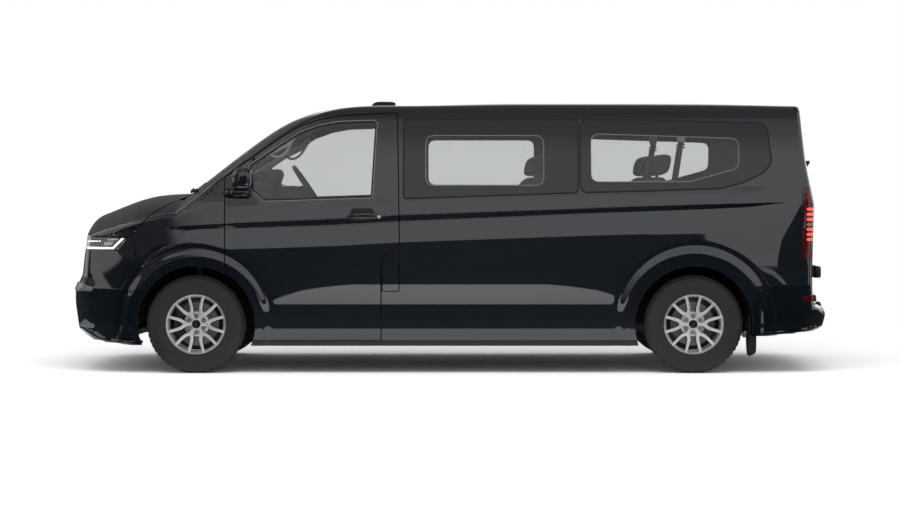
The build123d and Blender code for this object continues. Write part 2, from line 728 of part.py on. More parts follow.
# --- Cabin ---
SEAT_W = 480
FRONT_SEATS = [(-540, -440), (-540, 440)]
MIDDLE_SEATS = [(498, -560), (498, 0), (498, 560)]
REAR_SEATS = [(1336, -560), (1336, 0), (1336, 560)]


def seat_rows(name, places):
    """Seats on plinths; each place is the (x, y) of the hinge between cushion and back."""
    with BuildPart() as seats:
        for x, y in places:
            with BuildSketch(Plane.XZ.offset(-y - SEAT_W / 2)):
                with BuildLine():
                    Polyline(
                        [(x - 500, 860), (x - 515, 930), (x - 490, 985), (x - 60, 960), (x + 60, 1365),
                         (x + 85, 1385), (x + 215, 1385), (x + 235, 1350), (x + 90, 900), (x - 20, 860)],
                        close=True)
                make_face()
            extrude(amount=SEAT_W)
            with BuildSketch(Plane.XZ.offset(-y - 130)):
                with BuildLine():
                    Polyline(
                        [(x + 85, 1384), (x + 72, 1420), (x + 98, 1508), (x + 130, 1524),
                         (x + 225, 1534), (x + 245, 1500), (x + 215, 1384)],
                        close=True)
                make_face()
            extrude(amount=260)
            with Locations((x - 290, y, (FLOOR_Z + 860) / 2)):
                Box(260, 380, 860 - FLOOR_Z)
    finish(seats, name)


seat_rows("front_seats", FRONT_SEATS)
seat_rows("middle_seats", MIDDLE_SEATS)
seat_rows("rear_seats", REAR_SEATS)

STEERING = (-1042, -440, 1303)
STEERING_AXIS = (0.826, 0, 0.563)

with BuildPart() as dashboard:
    with BuildSketch(Plane.XZ.offset(-860)):
        with BuildLine():
            Polyline(
                [(-1700, 900), (-1700, 1120), (-1560, 1165), (-1260, 1170), (-1310, 1080), (-1370, 930),
                 (-1500, 850)], close=True)
        make_face()
    extrude(amount=1720)
    with BuildSketch(Plane.XZ.offset(-780)):
        with BuildLine():
            Polyline([(-1560, 1150), (-1560, 1290), (-1400, 1345), (-1270, 1330), (-1240, 1150)],
                     close=True)
        make_face()
    extrude(amount=1560)
    # The hood over the instruments, in front of the driver.
    with BuildSketch(Plane.XZ.offset(-STEERING[1] - 170)):
        with BuildLine():
            Polyline([(-1420, 1300), (-1340, 1425), (-1230, 1440), (-1205, 1400), (-1240, 1300)],
                     close=True)
        make_face()
    extrude(amount=340)
    with Locations((-1440, 0, 785)):
        Box(160, 300, 490)
finish(dashboard, "dashboard")

steering_plane = Plane(origin=STEERING, x_dir=(0, 1, 0), z_dir=STEERING_AXIS)
with BuildPart() as steering_wheel:
    with BuildSketch(steering_plane):
        Circle(185)
        Circle(162, mode=Mode.SUBTRACT)
    extrude(amount=24)
    with BuildSketch(steering_plane):
        Circle(60)
        Rectangle(340, 40)
        with Locations((0, -90)):
            Rectangle(40, 160)
    extrude(amount=16)
    with BuildSketch(steering_plane):
        Circle(30)
    extrude(amount=-330)
    add(dashboard.part, mode=Mode.SUBTRACT)
finish(steering_wheel, "steering_wheel")

# --- Mirrors, handles and what stands on the body ---
for side in SIDE:
    way = SIDE[side]
    with BuildPart() as mirror_head:
        with Locations((-1452, way * 1080, 1368)):
            Box(132, 118, 160)
        fillet(mirror_head.edges(), 24)
        with Locations((-1480, way * 1015, 1275)):
            Box(70, 90, 60)
        add(OUTER, mode=Mode.SUBTRACT)
    finish(mirror_head, f"mirror_{side}")
    with BuildPart() as door_handle:
        with Locations((-610, way * 1022, 1118)):
            Box(190, 14, 30)
        with Locations((-690, way * 1010, 1118), (-530, way * 1010, 1118)):
            Box(26, 30, 26)
        add(OUTER, mode=Mode.SUBTRACT)
    finish(door_handle, f"door_handle_{side}")

with BuildPart() as roof_antenna:
    with Locations((-498, 0, ROOF_Z + 10)):
        Box(190, 70, 44)
    fillet(roof_antenna.edges().filter_by(Axis.Z), 30)
    add(OUTER, mode=Mode.SUBTRACT)
finish(roof_antenna, "roof_antenna")

with BuildPart() as mud_flaps:
    for way in SIDE.values():
        with Locations((MUD_FLAP[0], way * MUD_FLAP[1], MUD_FLAP[2])):
            Box(*MUD_FLAP_SIZE)
finish(mud_flaps, "mud_flaps")

TOW_BALL = (2738, 0, 430)
with BuildPart() as tow_bar:
    with Locations(TOW_BALL):
        Sphere(25)
    with BuildLine() as neck:
        FilletPolyline([(2738, 0, 430), (2738, 0, 250), (2300, 0, 250)], radius=60)
    with BuildSketch(Plane(origin=neck.line @ 0, z_dir=neck.line % 0)):
        Circle(17)
    sweep()
    with Locations((2300, 0, 300)):
        Box(50, 60, 140)
    with Locations((2300, 0, 350)):
        Box(80, 1300, 80)
finish(tow_bar, "tow_bar")

with BuildPart() as rear_wiper:
    with BuildSketch(Plane.YZ.offset(2300)):
        with Locations((-150, 1440)):
            Rectangle(420, 16, rotation=-14)
        with Locations((40, 1390)):
            Circle(26)
    extrude(amount=318)
    add(OUTER, mode=Mode.SUBTRACT)
finish(rear_wiper, "rear_wiper")
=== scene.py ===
import math

import bmesh
import bpy
import numpy as np
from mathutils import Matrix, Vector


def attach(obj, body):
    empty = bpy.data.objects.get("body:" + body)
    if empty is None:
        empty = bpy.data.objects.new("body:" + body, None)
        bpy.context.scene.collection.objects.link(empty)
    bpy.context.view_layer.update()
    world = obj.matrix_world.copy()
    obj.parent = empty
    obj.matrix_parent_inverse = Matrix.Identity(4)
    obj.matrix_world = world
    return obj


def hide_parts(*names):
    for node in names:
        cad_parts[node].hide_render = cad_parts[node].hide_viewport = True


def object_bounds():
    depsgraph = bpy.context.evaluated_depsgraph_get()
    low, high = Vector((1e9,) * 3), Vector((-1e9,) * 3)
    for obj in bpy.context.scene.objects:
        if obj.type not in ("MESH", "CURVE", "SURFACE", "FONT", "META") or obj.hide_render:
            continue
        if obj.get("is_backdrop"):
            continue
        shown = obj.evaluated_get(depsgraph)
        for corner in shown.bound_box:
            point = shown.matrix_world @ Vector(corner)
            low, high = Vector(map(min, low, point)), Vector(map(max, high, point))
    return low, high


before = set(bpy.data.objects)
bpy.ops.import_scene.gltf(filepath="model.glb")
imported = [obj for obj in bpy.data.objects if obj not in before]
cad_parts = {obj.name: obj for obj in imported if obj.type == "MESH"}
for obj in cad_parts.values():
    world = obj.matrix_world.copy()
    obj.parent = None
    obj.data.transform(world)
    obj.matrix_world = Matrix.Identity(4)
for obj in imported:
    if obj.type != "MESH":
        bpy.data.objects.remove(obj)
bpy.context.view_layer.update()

# --- The body's form ---
# A minibus body is pressed from steel sheet round one smooth form, and every panel, lamp and pane follows it.
# The form is given by its centre line, cross section and plan in millimetres. X runs along the vehicle with
# the nose at -X, the left side is at -Y, and Z is up from the road.
NOSE_PIVOT_X = 1400
TAIL_PIVOT_X = -1850
SCREEN_FOOT_X, SCREEN_FOOT_Z = -1906, 1257
BONNET_CROWN_R = 4050
AXLE_X = {"front": -1787, "rear": 1713}
WHEEL_Z = 343
SIDES = {"left": -1, "right": 1}


def smooth_table(points, spread, step=4):
    """Heights along a line through points, rounded off over a spread, as two arrays."""
    u, v = np.array(sorted(points), float).T
    grid = np.arange(u[0], u[-1] + step, step)
    heights = np.interp(grid, u, v)
    reach = int(3 * spread / step)
    weights = np.exp(-0.5 * (np.arange(-reach, reach + 1) * step / spread) ** 2)
    padded = np.concatenate([
        heights[0] + (heights[1] - heights[0]) * np.arange(-reach, 0), heights,
        heights[-1] + (heights[-1] - heights[-2]) * np.arange(1, reach + 1),
    ])
    return grid, np.convolve(padded, weights / weights.sum(), "valid")


def splined(points):
    """The natural cubic through points, sampled finely."""
    u, v = np.array(sorted(points), float).T
    n, h = len(u), np.diff(u)
    matrix, right = np.eye(n), np.zeros(n)
    for i in range(1, n - 1):
        matrix[i, i - 1:i + 2] = h[i - 1], 2 * (h[i - 1] + h[i]), h[i]
        right[i] = 6 * ((v[i + 1] - v[i]) / h[i] - (v[i] - v[i - 1]) / h[i - 1])
    bend = np.linalg.solve(matrix, right)
    grid = np.arange(u[0], u[-1], 4.0)
    i = np.clip(np.searchsorted(u, grid, "right") - 1, 0, n - 2)
    a, b = u[i + 1] - grid, grid - u[i]
    return grid, (bend[i] * a ** 3 + bend[i + 1] * b ** 3) / (6 * h[i]) + (v[i] / h[i] - bend[i] * h[i] / 6) * a \
        + (v[i + 1] / h[i] - bend[i + 1] * h[i] / 6) * b


SCREEN_LINE = splined([
    (2600, 1907), (1600, 1909), (700, 1908), (100, 1903), (-500, 1888), (-953, 1862), (-1178, 1786), (-1393, 1652),
    (-1655, 1454), (SCREEN_FOOT_X, SCREEN_FOOT_Z), (-2306, 940), (-2700, 620),
])
BONNET_LINE = smooth_table([
    (-3100, 700), (-2700, 1020), (-2550, 1103), (-2400, 1164), (-2285, 1208), (-2170, 1239), (-2040, 1252),
    (SCREEN_FOOT_X, SCREEN_FOOT_Z), (-1400, 1262),
], spread=26)
NOSE_LINE = smooth_table([
    (190, -2300), (206, -2440), (214, -2590), (296, -2706), (470, -2731), (572, -2731), (680, -2680), (832, -2664),
    (960, -2645), (1100, -2590), (1330, -2440),
], spread=9)
REAR_ROOF_LINE = smooth_table([(-3000, 1908), (1500, 1908), (1900, 1905), (2540, 1888), (2800, 1878)], spread=60)
TAIL_LINE = smooth_table([
    (192, 2100), (248, 2190), (273, 2490), (294, 2655), (317, 2709), (400, 2731), (440, 2722), (468, 2655),
    (500, 2648), (660, 2640), (710, 2640),
    (1193, 2652), (1500, 2590), (1820, 2550), (1888, 2540), (2000, 2530),
], spread=9)
HALF_WIDTH_LINE = splined([
    (-200, 930), (160, 964), (430, 1001), (720, 1016), (960, 1012), (1200, 994), (1350, 976), (1500, 952), (1640, 924),
    (1760, 893), (1830, 866), (1875, 826), (1900, 770), (1915, 690),
])
PLAN_LINE = splined([
    (-2800, 380), (-2710, 600), (-2590, 800), (-2470, 893), (-2350, 948), (-2120, 1000), (-1880, 1019), (-1500, 1036),
    (0, 1045), (1500, 1038), (1900, 1021), (2200, 1008), (2380, 998), (2470, 984), (2560, 950), (2640, 880),
    (2720, 740), (2800, 520),
])


def along(table, at):
    """Height and slope factor of a table at given places."""
    grid, heights = table
    step = 8.0
    height = np.interp(at, grid, heights)
    slope = (np.interp(at + step, grid, heights) - np.interp(at - step, grid, heights)) / (2 * step)
    return height, 1 / np.sqrt(1 + slope ** 2)


def rounded_max(a, b, width):
    """The larger of two distances, with the edge between them rounded."""
    share = np.clip(0.5 + 0.5 * (a - b) / width, 0, 1)
    return b + (a - b) * share + width * share * (1 - share) * 0.5


def ramp(values, low, high):
    """0 below low, 1 above high, with an easy start and end."""
    t = np.clip((values - low) / (high - low), 0, 1)
    return t * t * (3 - 2 * t)


# Creases of the body sides: the shoulder line's upper and lower edges, as (x, z).
SHOULDER_TOP = smooth_table([(-2300, 1005), (-2056, 1027), (-845, 1087), (-352, 1115), (352, 1140), (986, 1161),
                             (1760, 1185), (2182, 1197), (2500, 1202)], spread=60)
SHOULDER_FOOT = smooth_table([(-2300, 990), (-2056, 1010), (-845, 1041), (-352, 1069), (352, 1097), (1056, 1129),
                              (1760, 1154), (2112, 1170), (2310, 1199), (2500, 1204)], spread=60)
FLARE_R = {"front": 540, "rear": 560}
ARCH_RELIEF = smooth_table([
    (380, -10), (414, -6), (426, -5), (478, 7), (484, 7), (534, -5), (541, -5), (561, 0), (700, 0)], spread=9, step=1.0)
SHOULDER_DEPTH = 16
WAIST_SWELL = 8
BUMPER_CREASE = (590, 616)
BUMPER_TUCK = 0.10
ROOF_CROWN = 1.5e-5
LONGEST_RAY = 1700.0
SIDE_BLEND, BONNET_BLEND, ROOF_BLEND, NOSE_BLEND, TAIL_BLEND = 30, 12, 34, 52, 40


def side_relief(x, z):
    """How far the pressed lines of a body side stand out from the plain form."""
    top, foot = np.interp(x, *SHOULDER_TOP), np.interp(x, *SHOULDER_FOOT)
    share = ramp(x, -2080, -1500) * np.clip((top - foot) / 26, 0, 1)
    below = np.clip((top - z) / np.maximum(top - foot, 8), 0, 1)
    back = 1 - ramp(-z, -foot, -foot + 170)
    relief = -SHOULDER_DEPTH * share * np.where(z > foot, below, back)
    waist = np.clip((z - top) / 115, 0, 1)
    relief = relief + WAIST_SWELL * ramp(x, -2200, -1900) * (1 - ramp(x, 2100, 2350)) * (
        np.where(z > top, 1 - waist ** 2, 1 - ramp(top - z, 0, 300)))
    for end, axle_x in AXLE_X.items():
        r = np.hypot(x - axle_x, z - WHEEL_Z) - FLARE_R[end] + FLARE_R["front"]
        keep = ramp(r, 520, 575)
        relief = relief * keep + np.interp(r, *ARCH_RELIEF)
    for out, crease in ((-x, BUMPER_CREASE[0]), (x, BUMPER_CREASE[1])):
        relief = relief - BUMPER_TUCK * ramp(out, 2090, 2190) * np.clip(crease - z, 0, 260)
    return relief


def form(p):
    """Distance outside the body's surface, roughly, for an array of points."""
    x, y, z = p[:, 0], p[:, 1], p[:, 2]
    front_x = NOSE_PIVOT_X - np.hypot(x - NOSE_PIVOT_X, y)
    rear_x = np.hypot(x - TAIL_PIVOT_X, y) + TAIL_PIVOT_X
    half_width, a = along(HALF_WIDTH_LINE, z)
    plan_width, b = along(PLAN_LINE, x)
    side = rounded_max((np.abs(y) - half_width) * a, (np.abs(y) - plan_width) * b, SIDE_BLEND)
    side = side - side_relief(x, z)
    screen_z, a = along(SCREEN_LINE, front_x)
    crown = np.hypot(y, z - SCREEN_FOOT_Z + BONNET_CROWN_R) - BONNET_CROWN_R + SCREEN_FOOT_Z
    bonnet_z, b = along(BONNET_LINE, front_x)
    top = -rounded_max((screen_z - z) * a, (bonnet_z - crown) * b, BONNET_BLEND)
    roof_z, a = along(REAR_ROOF_LINE, rear_x)
    roof_crown = ROOF_CROWN * y ** 2
    top = np.maximum(top + roof_crown * 0.6 * (z > 1500), (z - roof_z + roof_crown) * a)
    nose_x, a = along(NOSE_LINE, z)
    tail_x, b = along(TAIL_LINE, z)
    body = rounded_max(side, top, ROOF_BLEND)
    body = rounded_max(body, (nose_x - front_x) * a, NOSE_BLEND)
    return rounded_max(body, (rear_x - tail_x) * b, TAIL_BLEND)


def outwards(p):
    """Unit normals of the form at points on it."""
    step = 1.5
    normal = np.stack([form(p + step * d) - form(p - step * d) for d in np.eye(3)], 1)
    return normal / np.linalg.norm(normal, axis=1, keepdims=True)


def cast(start, direction):
    """Where rays from inside the body meet its surface, and which of them do."""
    low, high = np.zeros(len(start)), np.full(len(start), LONGEST_RAY)
    good = form(start) < 0
    for _ in range(22):
        middle = (low + high) / 2
        inside = form(start + direction * middle[:, None]) < 0
        low, high = np.where(inside, middle, low), np.where(inside, high, middle)
    return start + direction * high[:, None], good

# --- How a panel is made ---
# A panel is cut from the form along its shut lines, as a press tool trims the sheet. Its edge is folded in with
# a small radius and its back face stands one wall behind, so that each gap shows a real depth.


FLAT_HALF, CORNER_R, CORNER_X = 500, 450, 2150
CORNER_RUN = CORNER_R * np.pi / 2


def girdle(end, p_low, p_high, z_low, z_high, cell, tilt_from=1700.0):
    """A net of points round the body: p runs from the middle of the nose or tail round a corner and along."""
    p, q = np.meshgrid(np.arange(p_low, p_high + cell, cell), np.arange(z_low, z_high + cell, cell), indexing="ij")
    size = p.shape
    p, q = p.ravel(), q.ravel()
    turn = np.clip((np.abs(p) - FLAT_HALF) / CORNER_R, 0, np.pi / 2)
    run = np.maximum(np.abs(p) - FLAT_HALF - CORNER_RUN, 0)
    lean = np.clip((q - tilt_from) / 350, 0, 1.35)
    start = np.stack([end * (CORNER_X - run), np.clip(p, -FLAT_HALF, FLAT_HALF), np.minimum(q, tilt_from)], 1)
    flat = np.stack([end * np.cos(turn), np.sign(p) * np.sin(turn)], 1) * np.cos(lean)[:, None]
    return cast(start, np.column_stack([flat, np.sin(lean)])) + (size, end < 0)


def along_girdle(end, x):
    """The place p on a net at which the side of the body has a given x."""
    return FLAT_HALF + CORNER_RUN + CORNER_X - end * x


BEND_X, BEND_R, SHOULDER_Y = -2300.0, 300, 450


def canopy(s_low, s_high, w_half, cell, base_z=900.0):
    """A net of points over the top: s runs back from the nose over a bend, and w across from side to side."""
    s, w = np.meshgrid(np.arange(s_low, s_high + cell, cell), np.arange(-w_half, w_half + cell, cell), indexing="ij")
    size = s.shape
    s, w = s.ravel(), w.ravel()
    pitch = np.clip(-s / BEND_R, 0, np.pi / 2)
    turn = np.clip((np.abs(w) - SHOULDER_Y) / SHOULDER_Y, 0, 1.45)
    start = np.stack([np.maximum(s, 0) + BEND_X, np.clip(w, -SHOULDER_Y, SHOULDER_Y), np.full(len(s), base_z)], 1)
    direction = np.stack([-np.sin(pitch) * np.cos(turn), np.sign(w) * np.sin(turn), np.cos(pitch) * np.cos(turn)], 1)
    return cast(start, direction) + (size, False)


def net_faces(size, good, flip):
    """Triangles between the points of a net, left out where a ray missed the body."""
    index = np.arange(size[0] * size[1]).reshape(size)
    a, b, c, d = index[:-1, :-1].ravel(), index[1:, :-1].ravel(), index[1:, 1:].ravel(), index[:-1, 1:].ravel()
    faces = np.concatenate([np.stack([a, b, c], 1), np.stack([a, c, d], 1)])
    faces = faces[good[faces].all(1)]
    return faces[:, ::-1] if flip else faces


def clip(points, faces, field):
    """Keeps the part of a surface where a field is negative."""
    value = field(points)
    value = np.where(np.abs(value) < 1e-6, -1e-6, value)
    inside = value < 0
    kept = inside[faces].sum(1)
    out = [faces[kept == 3]]
    made, new_points = {}, []

    cut = faces[(kept == 1) | (kept == 2)]
    pairs = np.concatenate([cut[:, [0, 1]], cut[:, [1, 2]], cut[:, [2, 0]]])
    pairs = pairs[inside[pairs[:, 0]] != inside[pairs[:, 1]]]
    pairs = np.unique(np.sort(pairs, 1), axis=0)
    if len(pairs):
        low, high = points[pairs[:, 0]].copy(), points[pairs[:, 1]].copy()
        f_low, f_high = value[pairs[:, 0]].copy(), value[pairs[:, 1]].copy()
        for _ in range(4):
            t = np.clip(f_low / (f_low - f_high), 0.02, 0.98)[:, None]
            middle = low + (high - low) * t
            f = field(middle)
            same = (f < 0) == (f_low < 0)
            low, f_low = np.where(same[:, None], middle, low), np.where(same, f, f_low)
            high, f_high = np.where(same[:, None], high, middle), np.where(same, f_high, f)
        t = (f_low / (f_low - f_high))[:, None]
        new_points = low + (high - low) * t
        made = {tuple(pair): len(points) + i for i, pair in enumerate(pairs.tolist())}
    extra = []
    for face in cut.tolist():
        ring = []
        for i in range(3):
            a, b = face[i], face[(i + 1) % 3]
            if inside[a]:
                ring.append(a)
            if inside[a] != inside[b]:
                ring.append(made[(min(a, b), max(a, b))])
        extra += [ring[:3]] if len(ring) == 3 else [ring[:3], [ring[0], ring[2], ring[3]]]
    if extra:
        out.append(np.array(extra))
        points = np.concatenate([points, new_points])
    faces = np.concatenate(out)
    used, where = np.unique(faces, return_inverse=True)
    return points[used], where.reshape(faces.shape)


BATCH = 20000
SIDE_VIEW, REAR_VIEW, TOP_VIEW = (0, 2), (1, 2), (0, 1)


def rectangle(a_low, b_low, a_high, b_high):
    """The corners of a rectangle between two opposite ones."""
    return [(a_low, b_low), (a_high, b_low), (a_high, b_high), (a_low, b_high)]


def polygon_field(points, axes=SIDE_VIEW, radius=0.0):
    """Distance outside a polygon drawn on two axes, with its corners rounded, as a field for clip."""
    corners = np.array(points, float)
    area = np.sum(corners[:, 0] * np.roll(corners[:, 1], -1) - np.roll(corners[:, 0], -1) * corners[:, 1])
    corners = corners if area > 0 else corners[::-1]
    if radius:
        rows = []
        for i, corner in enumerate(corners):
            a, b = corners[i - 1] - corner, corners[(i + 1) % len(corners)] - corner
            la, lb = np.linalg.norm(a), np.linalg.norm(b)
            half = math.acos(np.clip(a @ b / la / lb, -1, 1)) / 2
            pull = min(radius / math.tan(half), 0.45 * la, 0.45 * lb)
            for t in np.linspace(0, 1, 7):
                rows.append(corner + a / la * pull * (1 - t) ** 2 + b / lb * pull * t ** 2)
        corners = np.array(rows)
    ends = np.roll(corners, -1, 0)
    edges = ends - corners
    keep = (edges ** 2).sum(1) > 1e-6
    corners, edges = corners[keep], edges[keep]

    def field(p):
        result = np.empty(len(p))
        for i in range(0, len(p), BATCH):
            q = p[i:i + BATCH][:, axes]
            offset = q[:, None, :] - corners[None]
            t = np.clip((offset * edges).sum(2) / (edges ** 2).sum(1), 0, 1)
            distance = np.sqrt(((offset - edges * t[..., None]) ** 2).sum(2).min(1))
            rises = (offset[..., 1] >= 0) & (offset[..., 1] < edges[:, 1])
            falls = (offset[..., 1] < 0) & (offset[..., 1] >= edges[:, 1])
            cross = edges[:, 0] * offset[..., 1] - edges[:, 1] * offset[..., 0]
            wind = (rises & (cross > 0)).sum(1) - (falls & (cross < 0)).sum(1)
            result[i:i + BATCH] = np.where(wind != 0, -distance, distance)
        return result

    return field


def without(field):
    """The field of what lies outside another."""
    return lambda p: -field(p)


def beyond(axis, limit, way=1):
    """The field of a half space: keeps what lies past a limit along an axis, or short of it for way -1."""
    return lambda p: (limit - p[:, axis]) * way


def srgb(code):
    """A hex colour as the linear values that shaders take."""
    values = [int(code[i:i + 2], 16) / 255 for i in (1, 3, 5)]
    return tuple(v / 12.92 if v <= 0.04045 else ((v + 0.055) / 1.055) ** 2.4 for v in values) + (1.0,)


def add_node(tree, kind, settings=None, inputs=None, **links):
    """Adds a node with its settings and input values, and links its inputs to other nodes' outputs."""
    node = tree.nodes.new(kind)
    for name, value in (settings or {}).items():
        setattr(node, name, value)
    for name, value in (inputs or {}).items():
        node.inputs[name].default_value = value
    for name, source in links.items():
        socket = node.inputs[int(name[1:])] if name[:1] == "i" and name[1:].isdigit() else node.inputs[name]
        tree.links.new(source, socket)
    return node


def set_sockets(shader, values):
    """Sets a shader's own values, by the names of its sockets."""
    for name, value in values.items():
        shader.inputs[name].default_value = value


def new_finish(name):
    """A new material, its node tree, its shader and the piece's own coordinates."""
    material = bpy.data.materials.new(name)
    material.use_nodes = True
    tree = material.node_tree
    return material, tree, tree.nodes["Principled BSDF"], add_node(tree, "ShaderNodeTexCoord").outputs["Object"]


def coloured(tree, shader, base, tone):
    """Gives a shader its base colour, made lighter and darker by a tone."""
    tint = add_node(tree, "ShaderNodeMix", {"data_type": "RGBA", "blend_type": "MULTIPLY"},
                    {"Factor": 1.0, 6: srgb(base)}, i7=tone.outputs["Result"])
    tree.links.new(tint.outputs[2], shader.inputs["Base Color"])
    return tint.outputs[2]


def clouded(name, base, scale, detail, low, high):
    """A finish whose colour drifts between two shares of its base, with the noise that it follows."""
    material, tree, shader, place = new_finish(name)
    cloud = add_node(tree, "ShaderNodeTexNoise", None, {"Scale": scale, "Detail": detail}, Vector=place)
    tone = add_node(tree, "ShaderNodeMapRange", None, {3: low, 4: high}, Value=cloud.outputs["Fac"])
    return material, tree, shader, place, cloud, coloured(tree, shader, base, tone)


def mesh_piece(name, points, faces, materials, body, slot, face_materials=None, normals=None):
    """A finished piece from points in millimetres, riding on a body."""
    mesh = bpy.data.meshes.new(name)
    mesh.from_pydata((np.asarray(points, float) / 1000).tolist(), [], [list(map(int, f)) for f in faces])
    for material in materials:
        mesh.materials.append(material)
    if face_materials is not None:
        mesh.polygons.foreach_set("material_index", np.asarray(face_materials, np.int32))
    mesh.polygons.foreach_set("use_smooth", np.ones(len(mesh.polygons), bool))
    if normals is not None:
        mesh.normals_split_custom_set(np.asarray(normals, float).tolist())
    mesh.update()
    piece = bpy.data.objects.new(name, mesh)
    bpy.context.scene.collection.objects.link(piece)
    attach(piece, body)
    return piece


def border_loops(faces):
    """The open edges of a surface, as directed pairs."""
    edges = np.concatenate([faces[:, [0, 1]], faces[:, [1, 2]], faces[:, [2, 0]]])
    keys = np.sort(edges, 1)
    _, first, count = np.unique(keys, axis=0, return_index=True, return_counts=True)
    return edges[first[count == 1]]


FOLD = 1.4


def sheet_mesh(points, faces, normal, depth, fold=FOLD):
    """Gives a trimmed sheet folded edges and a back face. Returns points, faces, corner normals and kinds."""
    edges = border_loops(faces)
    n = len(points)
    side = np.zeros((n, 3))
    run = points[edges[:, 1]] - points[edges[:, 0]]
    across = np.cross(run, (normal[edges[:, 0]] + normal[edges[:, 1]]) / 2)
    for k in (0, 1):
        np.add.at(side, edges[:, k], across)
    rim = np.unique(edges)
    side[rim] /= np.maximum(np.linalg.norm(side[rim], axis=1, keepdims=True), 1e-9)
    spot = np.full(n, -1)
    spot[rim] = np.arange(len(rim))
    outer = points[rim] + side[rim] * fold - normal[rim] * fold
    inner = points - normal * depth
    inner[rim] += side[rim] * fold
    a, b = edges[:, 0], edges[:, 1]
    ra, rb, start = n + spot[a], n + spot[b], n + len(rim)
    folded = np.concatenate([np.stack([b, a, ra], 1), np.stack([b, ra, rb], 1)])
    wall = np.concatenate([np.stack([rb, ra, start + a], 1), np.stack([rb, start + a, start + b], 1)])
    all_faces = np.concatenate([faces, folded, wall, faces[:, ::-1] + start])
    corner_normals = np.concatenate([normal, side[rim], -normal])[all_faces]
    first, last = len(faces) + len(folded), len(faces) + len(folded) + len(wall)
    at_back = all_faces[first:last] >= start
    sides = side[np.where(at_back, all_faces[first:last] - start, 0)]
    corner_normals[first:last] = np.where(at_back[..., None], sides, corner_normals[first:last])
    kinds = np.concatenate([np.zeros(last, int), np.ones(len(faces), int)])
    return np.concatenate([points, outer, inner]), all_faces, corner_normals.reshape(-1, 3), kinds


def refined(points, faces, zone):
    """Splits the edges whose middles lie in a zone and sets the new points on the form."""
    ends = np.sort(np.concatenate([faces[:, [0, 1]], faces[:, [1, 2]], faces[:, [2, 0]]]), 1)
    edges, which = np.unique(ends, axis=0, return_inverse=True)
    middle = points[edges].mean(1)
    marked = zone(middle)
    new = np.where(marked, len(points) + np.cumsum(marked) - 1, -1)
    middle = middle[marked]
    for _ in range(2):
        middle = middle - outwards(middle) * form(middle)[:, None]
    cut = new[which.reshape(3, -1).T]
    count = (cut >= 0).sum(1)
    rows = [faces[count == 0]]
    f, m = faces[count == 3], cut[count == 3]
    rows += [np.stack([f[:, 0], m[:, 0], m[:, 2]], 1), np.stack([m[:, 0], f[:, 1], m[:, 1]], 1),
             np.stack([m[:, 2], m[:, 1], f[:, 2]], 1), m]
    for i in range(3):
        order = [i, (i + 1) % 3, (i + 2) % 3]
        f, m = faces[:, order], cut[:, order]
        one = (count == 1) & (m[:, 0] >= 0)
        rows += [np.stack([f[one, 0], m[one, 0], f[one, 2]], 1), np.stack([m[one, 0], f[one, 1], f[one, 2]], 1)]
        two = (count == 2) & (m[:, 2] < 0)
        rows += [np.stack([m[two, 0], f[two, 1], m[two, 1]], 1), np.stack([f[two, 0], m[two, 0], m[two, 1]], 1),
                 np.stack([f[two, 0], m[two, 1], f[two, 2]], 1)]
    return np.concatenate([points, middle]), np.concatenate(rows)


THIN_SHEET = 10


def near_pressing(p, spare):
    """Whether points are near the shoulder line or the flare round an arch."""
    x, z = p[:, 0], p[:, 2]
    top, foot = np.interp(x, *SHOULDER_TOP), np.interp(x, *SHOULDER_FOOT)
    found = (z < top + spare) & (z > foot - spare) & (x > -2150) & (x < 2350)
    for end, axle_x in AXLE_X.items():
        r = np.hypot(x - axle_x, z - WHEEL_Z) - FLARE_R[end] + FLARE_R["front"]
        found |= (r > 474 - spare) & (r < 564 + spare) & (z > 180)
    return found & (np.abs(p[:, 1]) > 700)


def panel_mesh(net, fields, depth, sink=0.0, fold=FOLD):
    """Trims a net by fields and makes it a folded panel. Deep ones get finer near the pressed lines."""
    points, good, size, flip = net
    faces = net_faces(size, good, flip)
    used, where = np.unique(faces, return_inverse=True)
    points, faces = points[used], where.reshape(faces.shape)
    for field in fields:
        points, faces = clip(points, faces, lambda p, f=field: f(p) + fold)
    if depth > THIN_SHEET:
        points, faces = refined(points, faces, lambda p: near_pressing(p, 22))
        points, faces = refined(points, faces, lambda p: near_pressing(p, 6))
    normal = outwards(points)
    return sheet_mesh(points - normal * sink, faces, normal, depth, fold)


def panel(name, net, fields, depth, materials, body, slot, sink=0.0, fold=FOLD):
    """A finished panel on a body; a second material goes on its back face."""
    points, faces, normals, kinds = panel_mesh(net, fields, depth, sink, fold)
    if len(materials) == 1:
        kinds = None
    return mesh_piece(name, points, faces, materials, body, slot, kinds, normals)

# --- Paint, and the fixed body shell ---
# Sides, roof and wings are zinc-coated steel sheet, dipped, primed and sprayed with a near-black mica base coat
# under clear lacquer. The bumpers are moulded polypropylene in the same paint.
# The mica is one flake in 0.4 mm, which is coarser than the real one so that it still shows.
FLAKES_PER_M = 2600.0


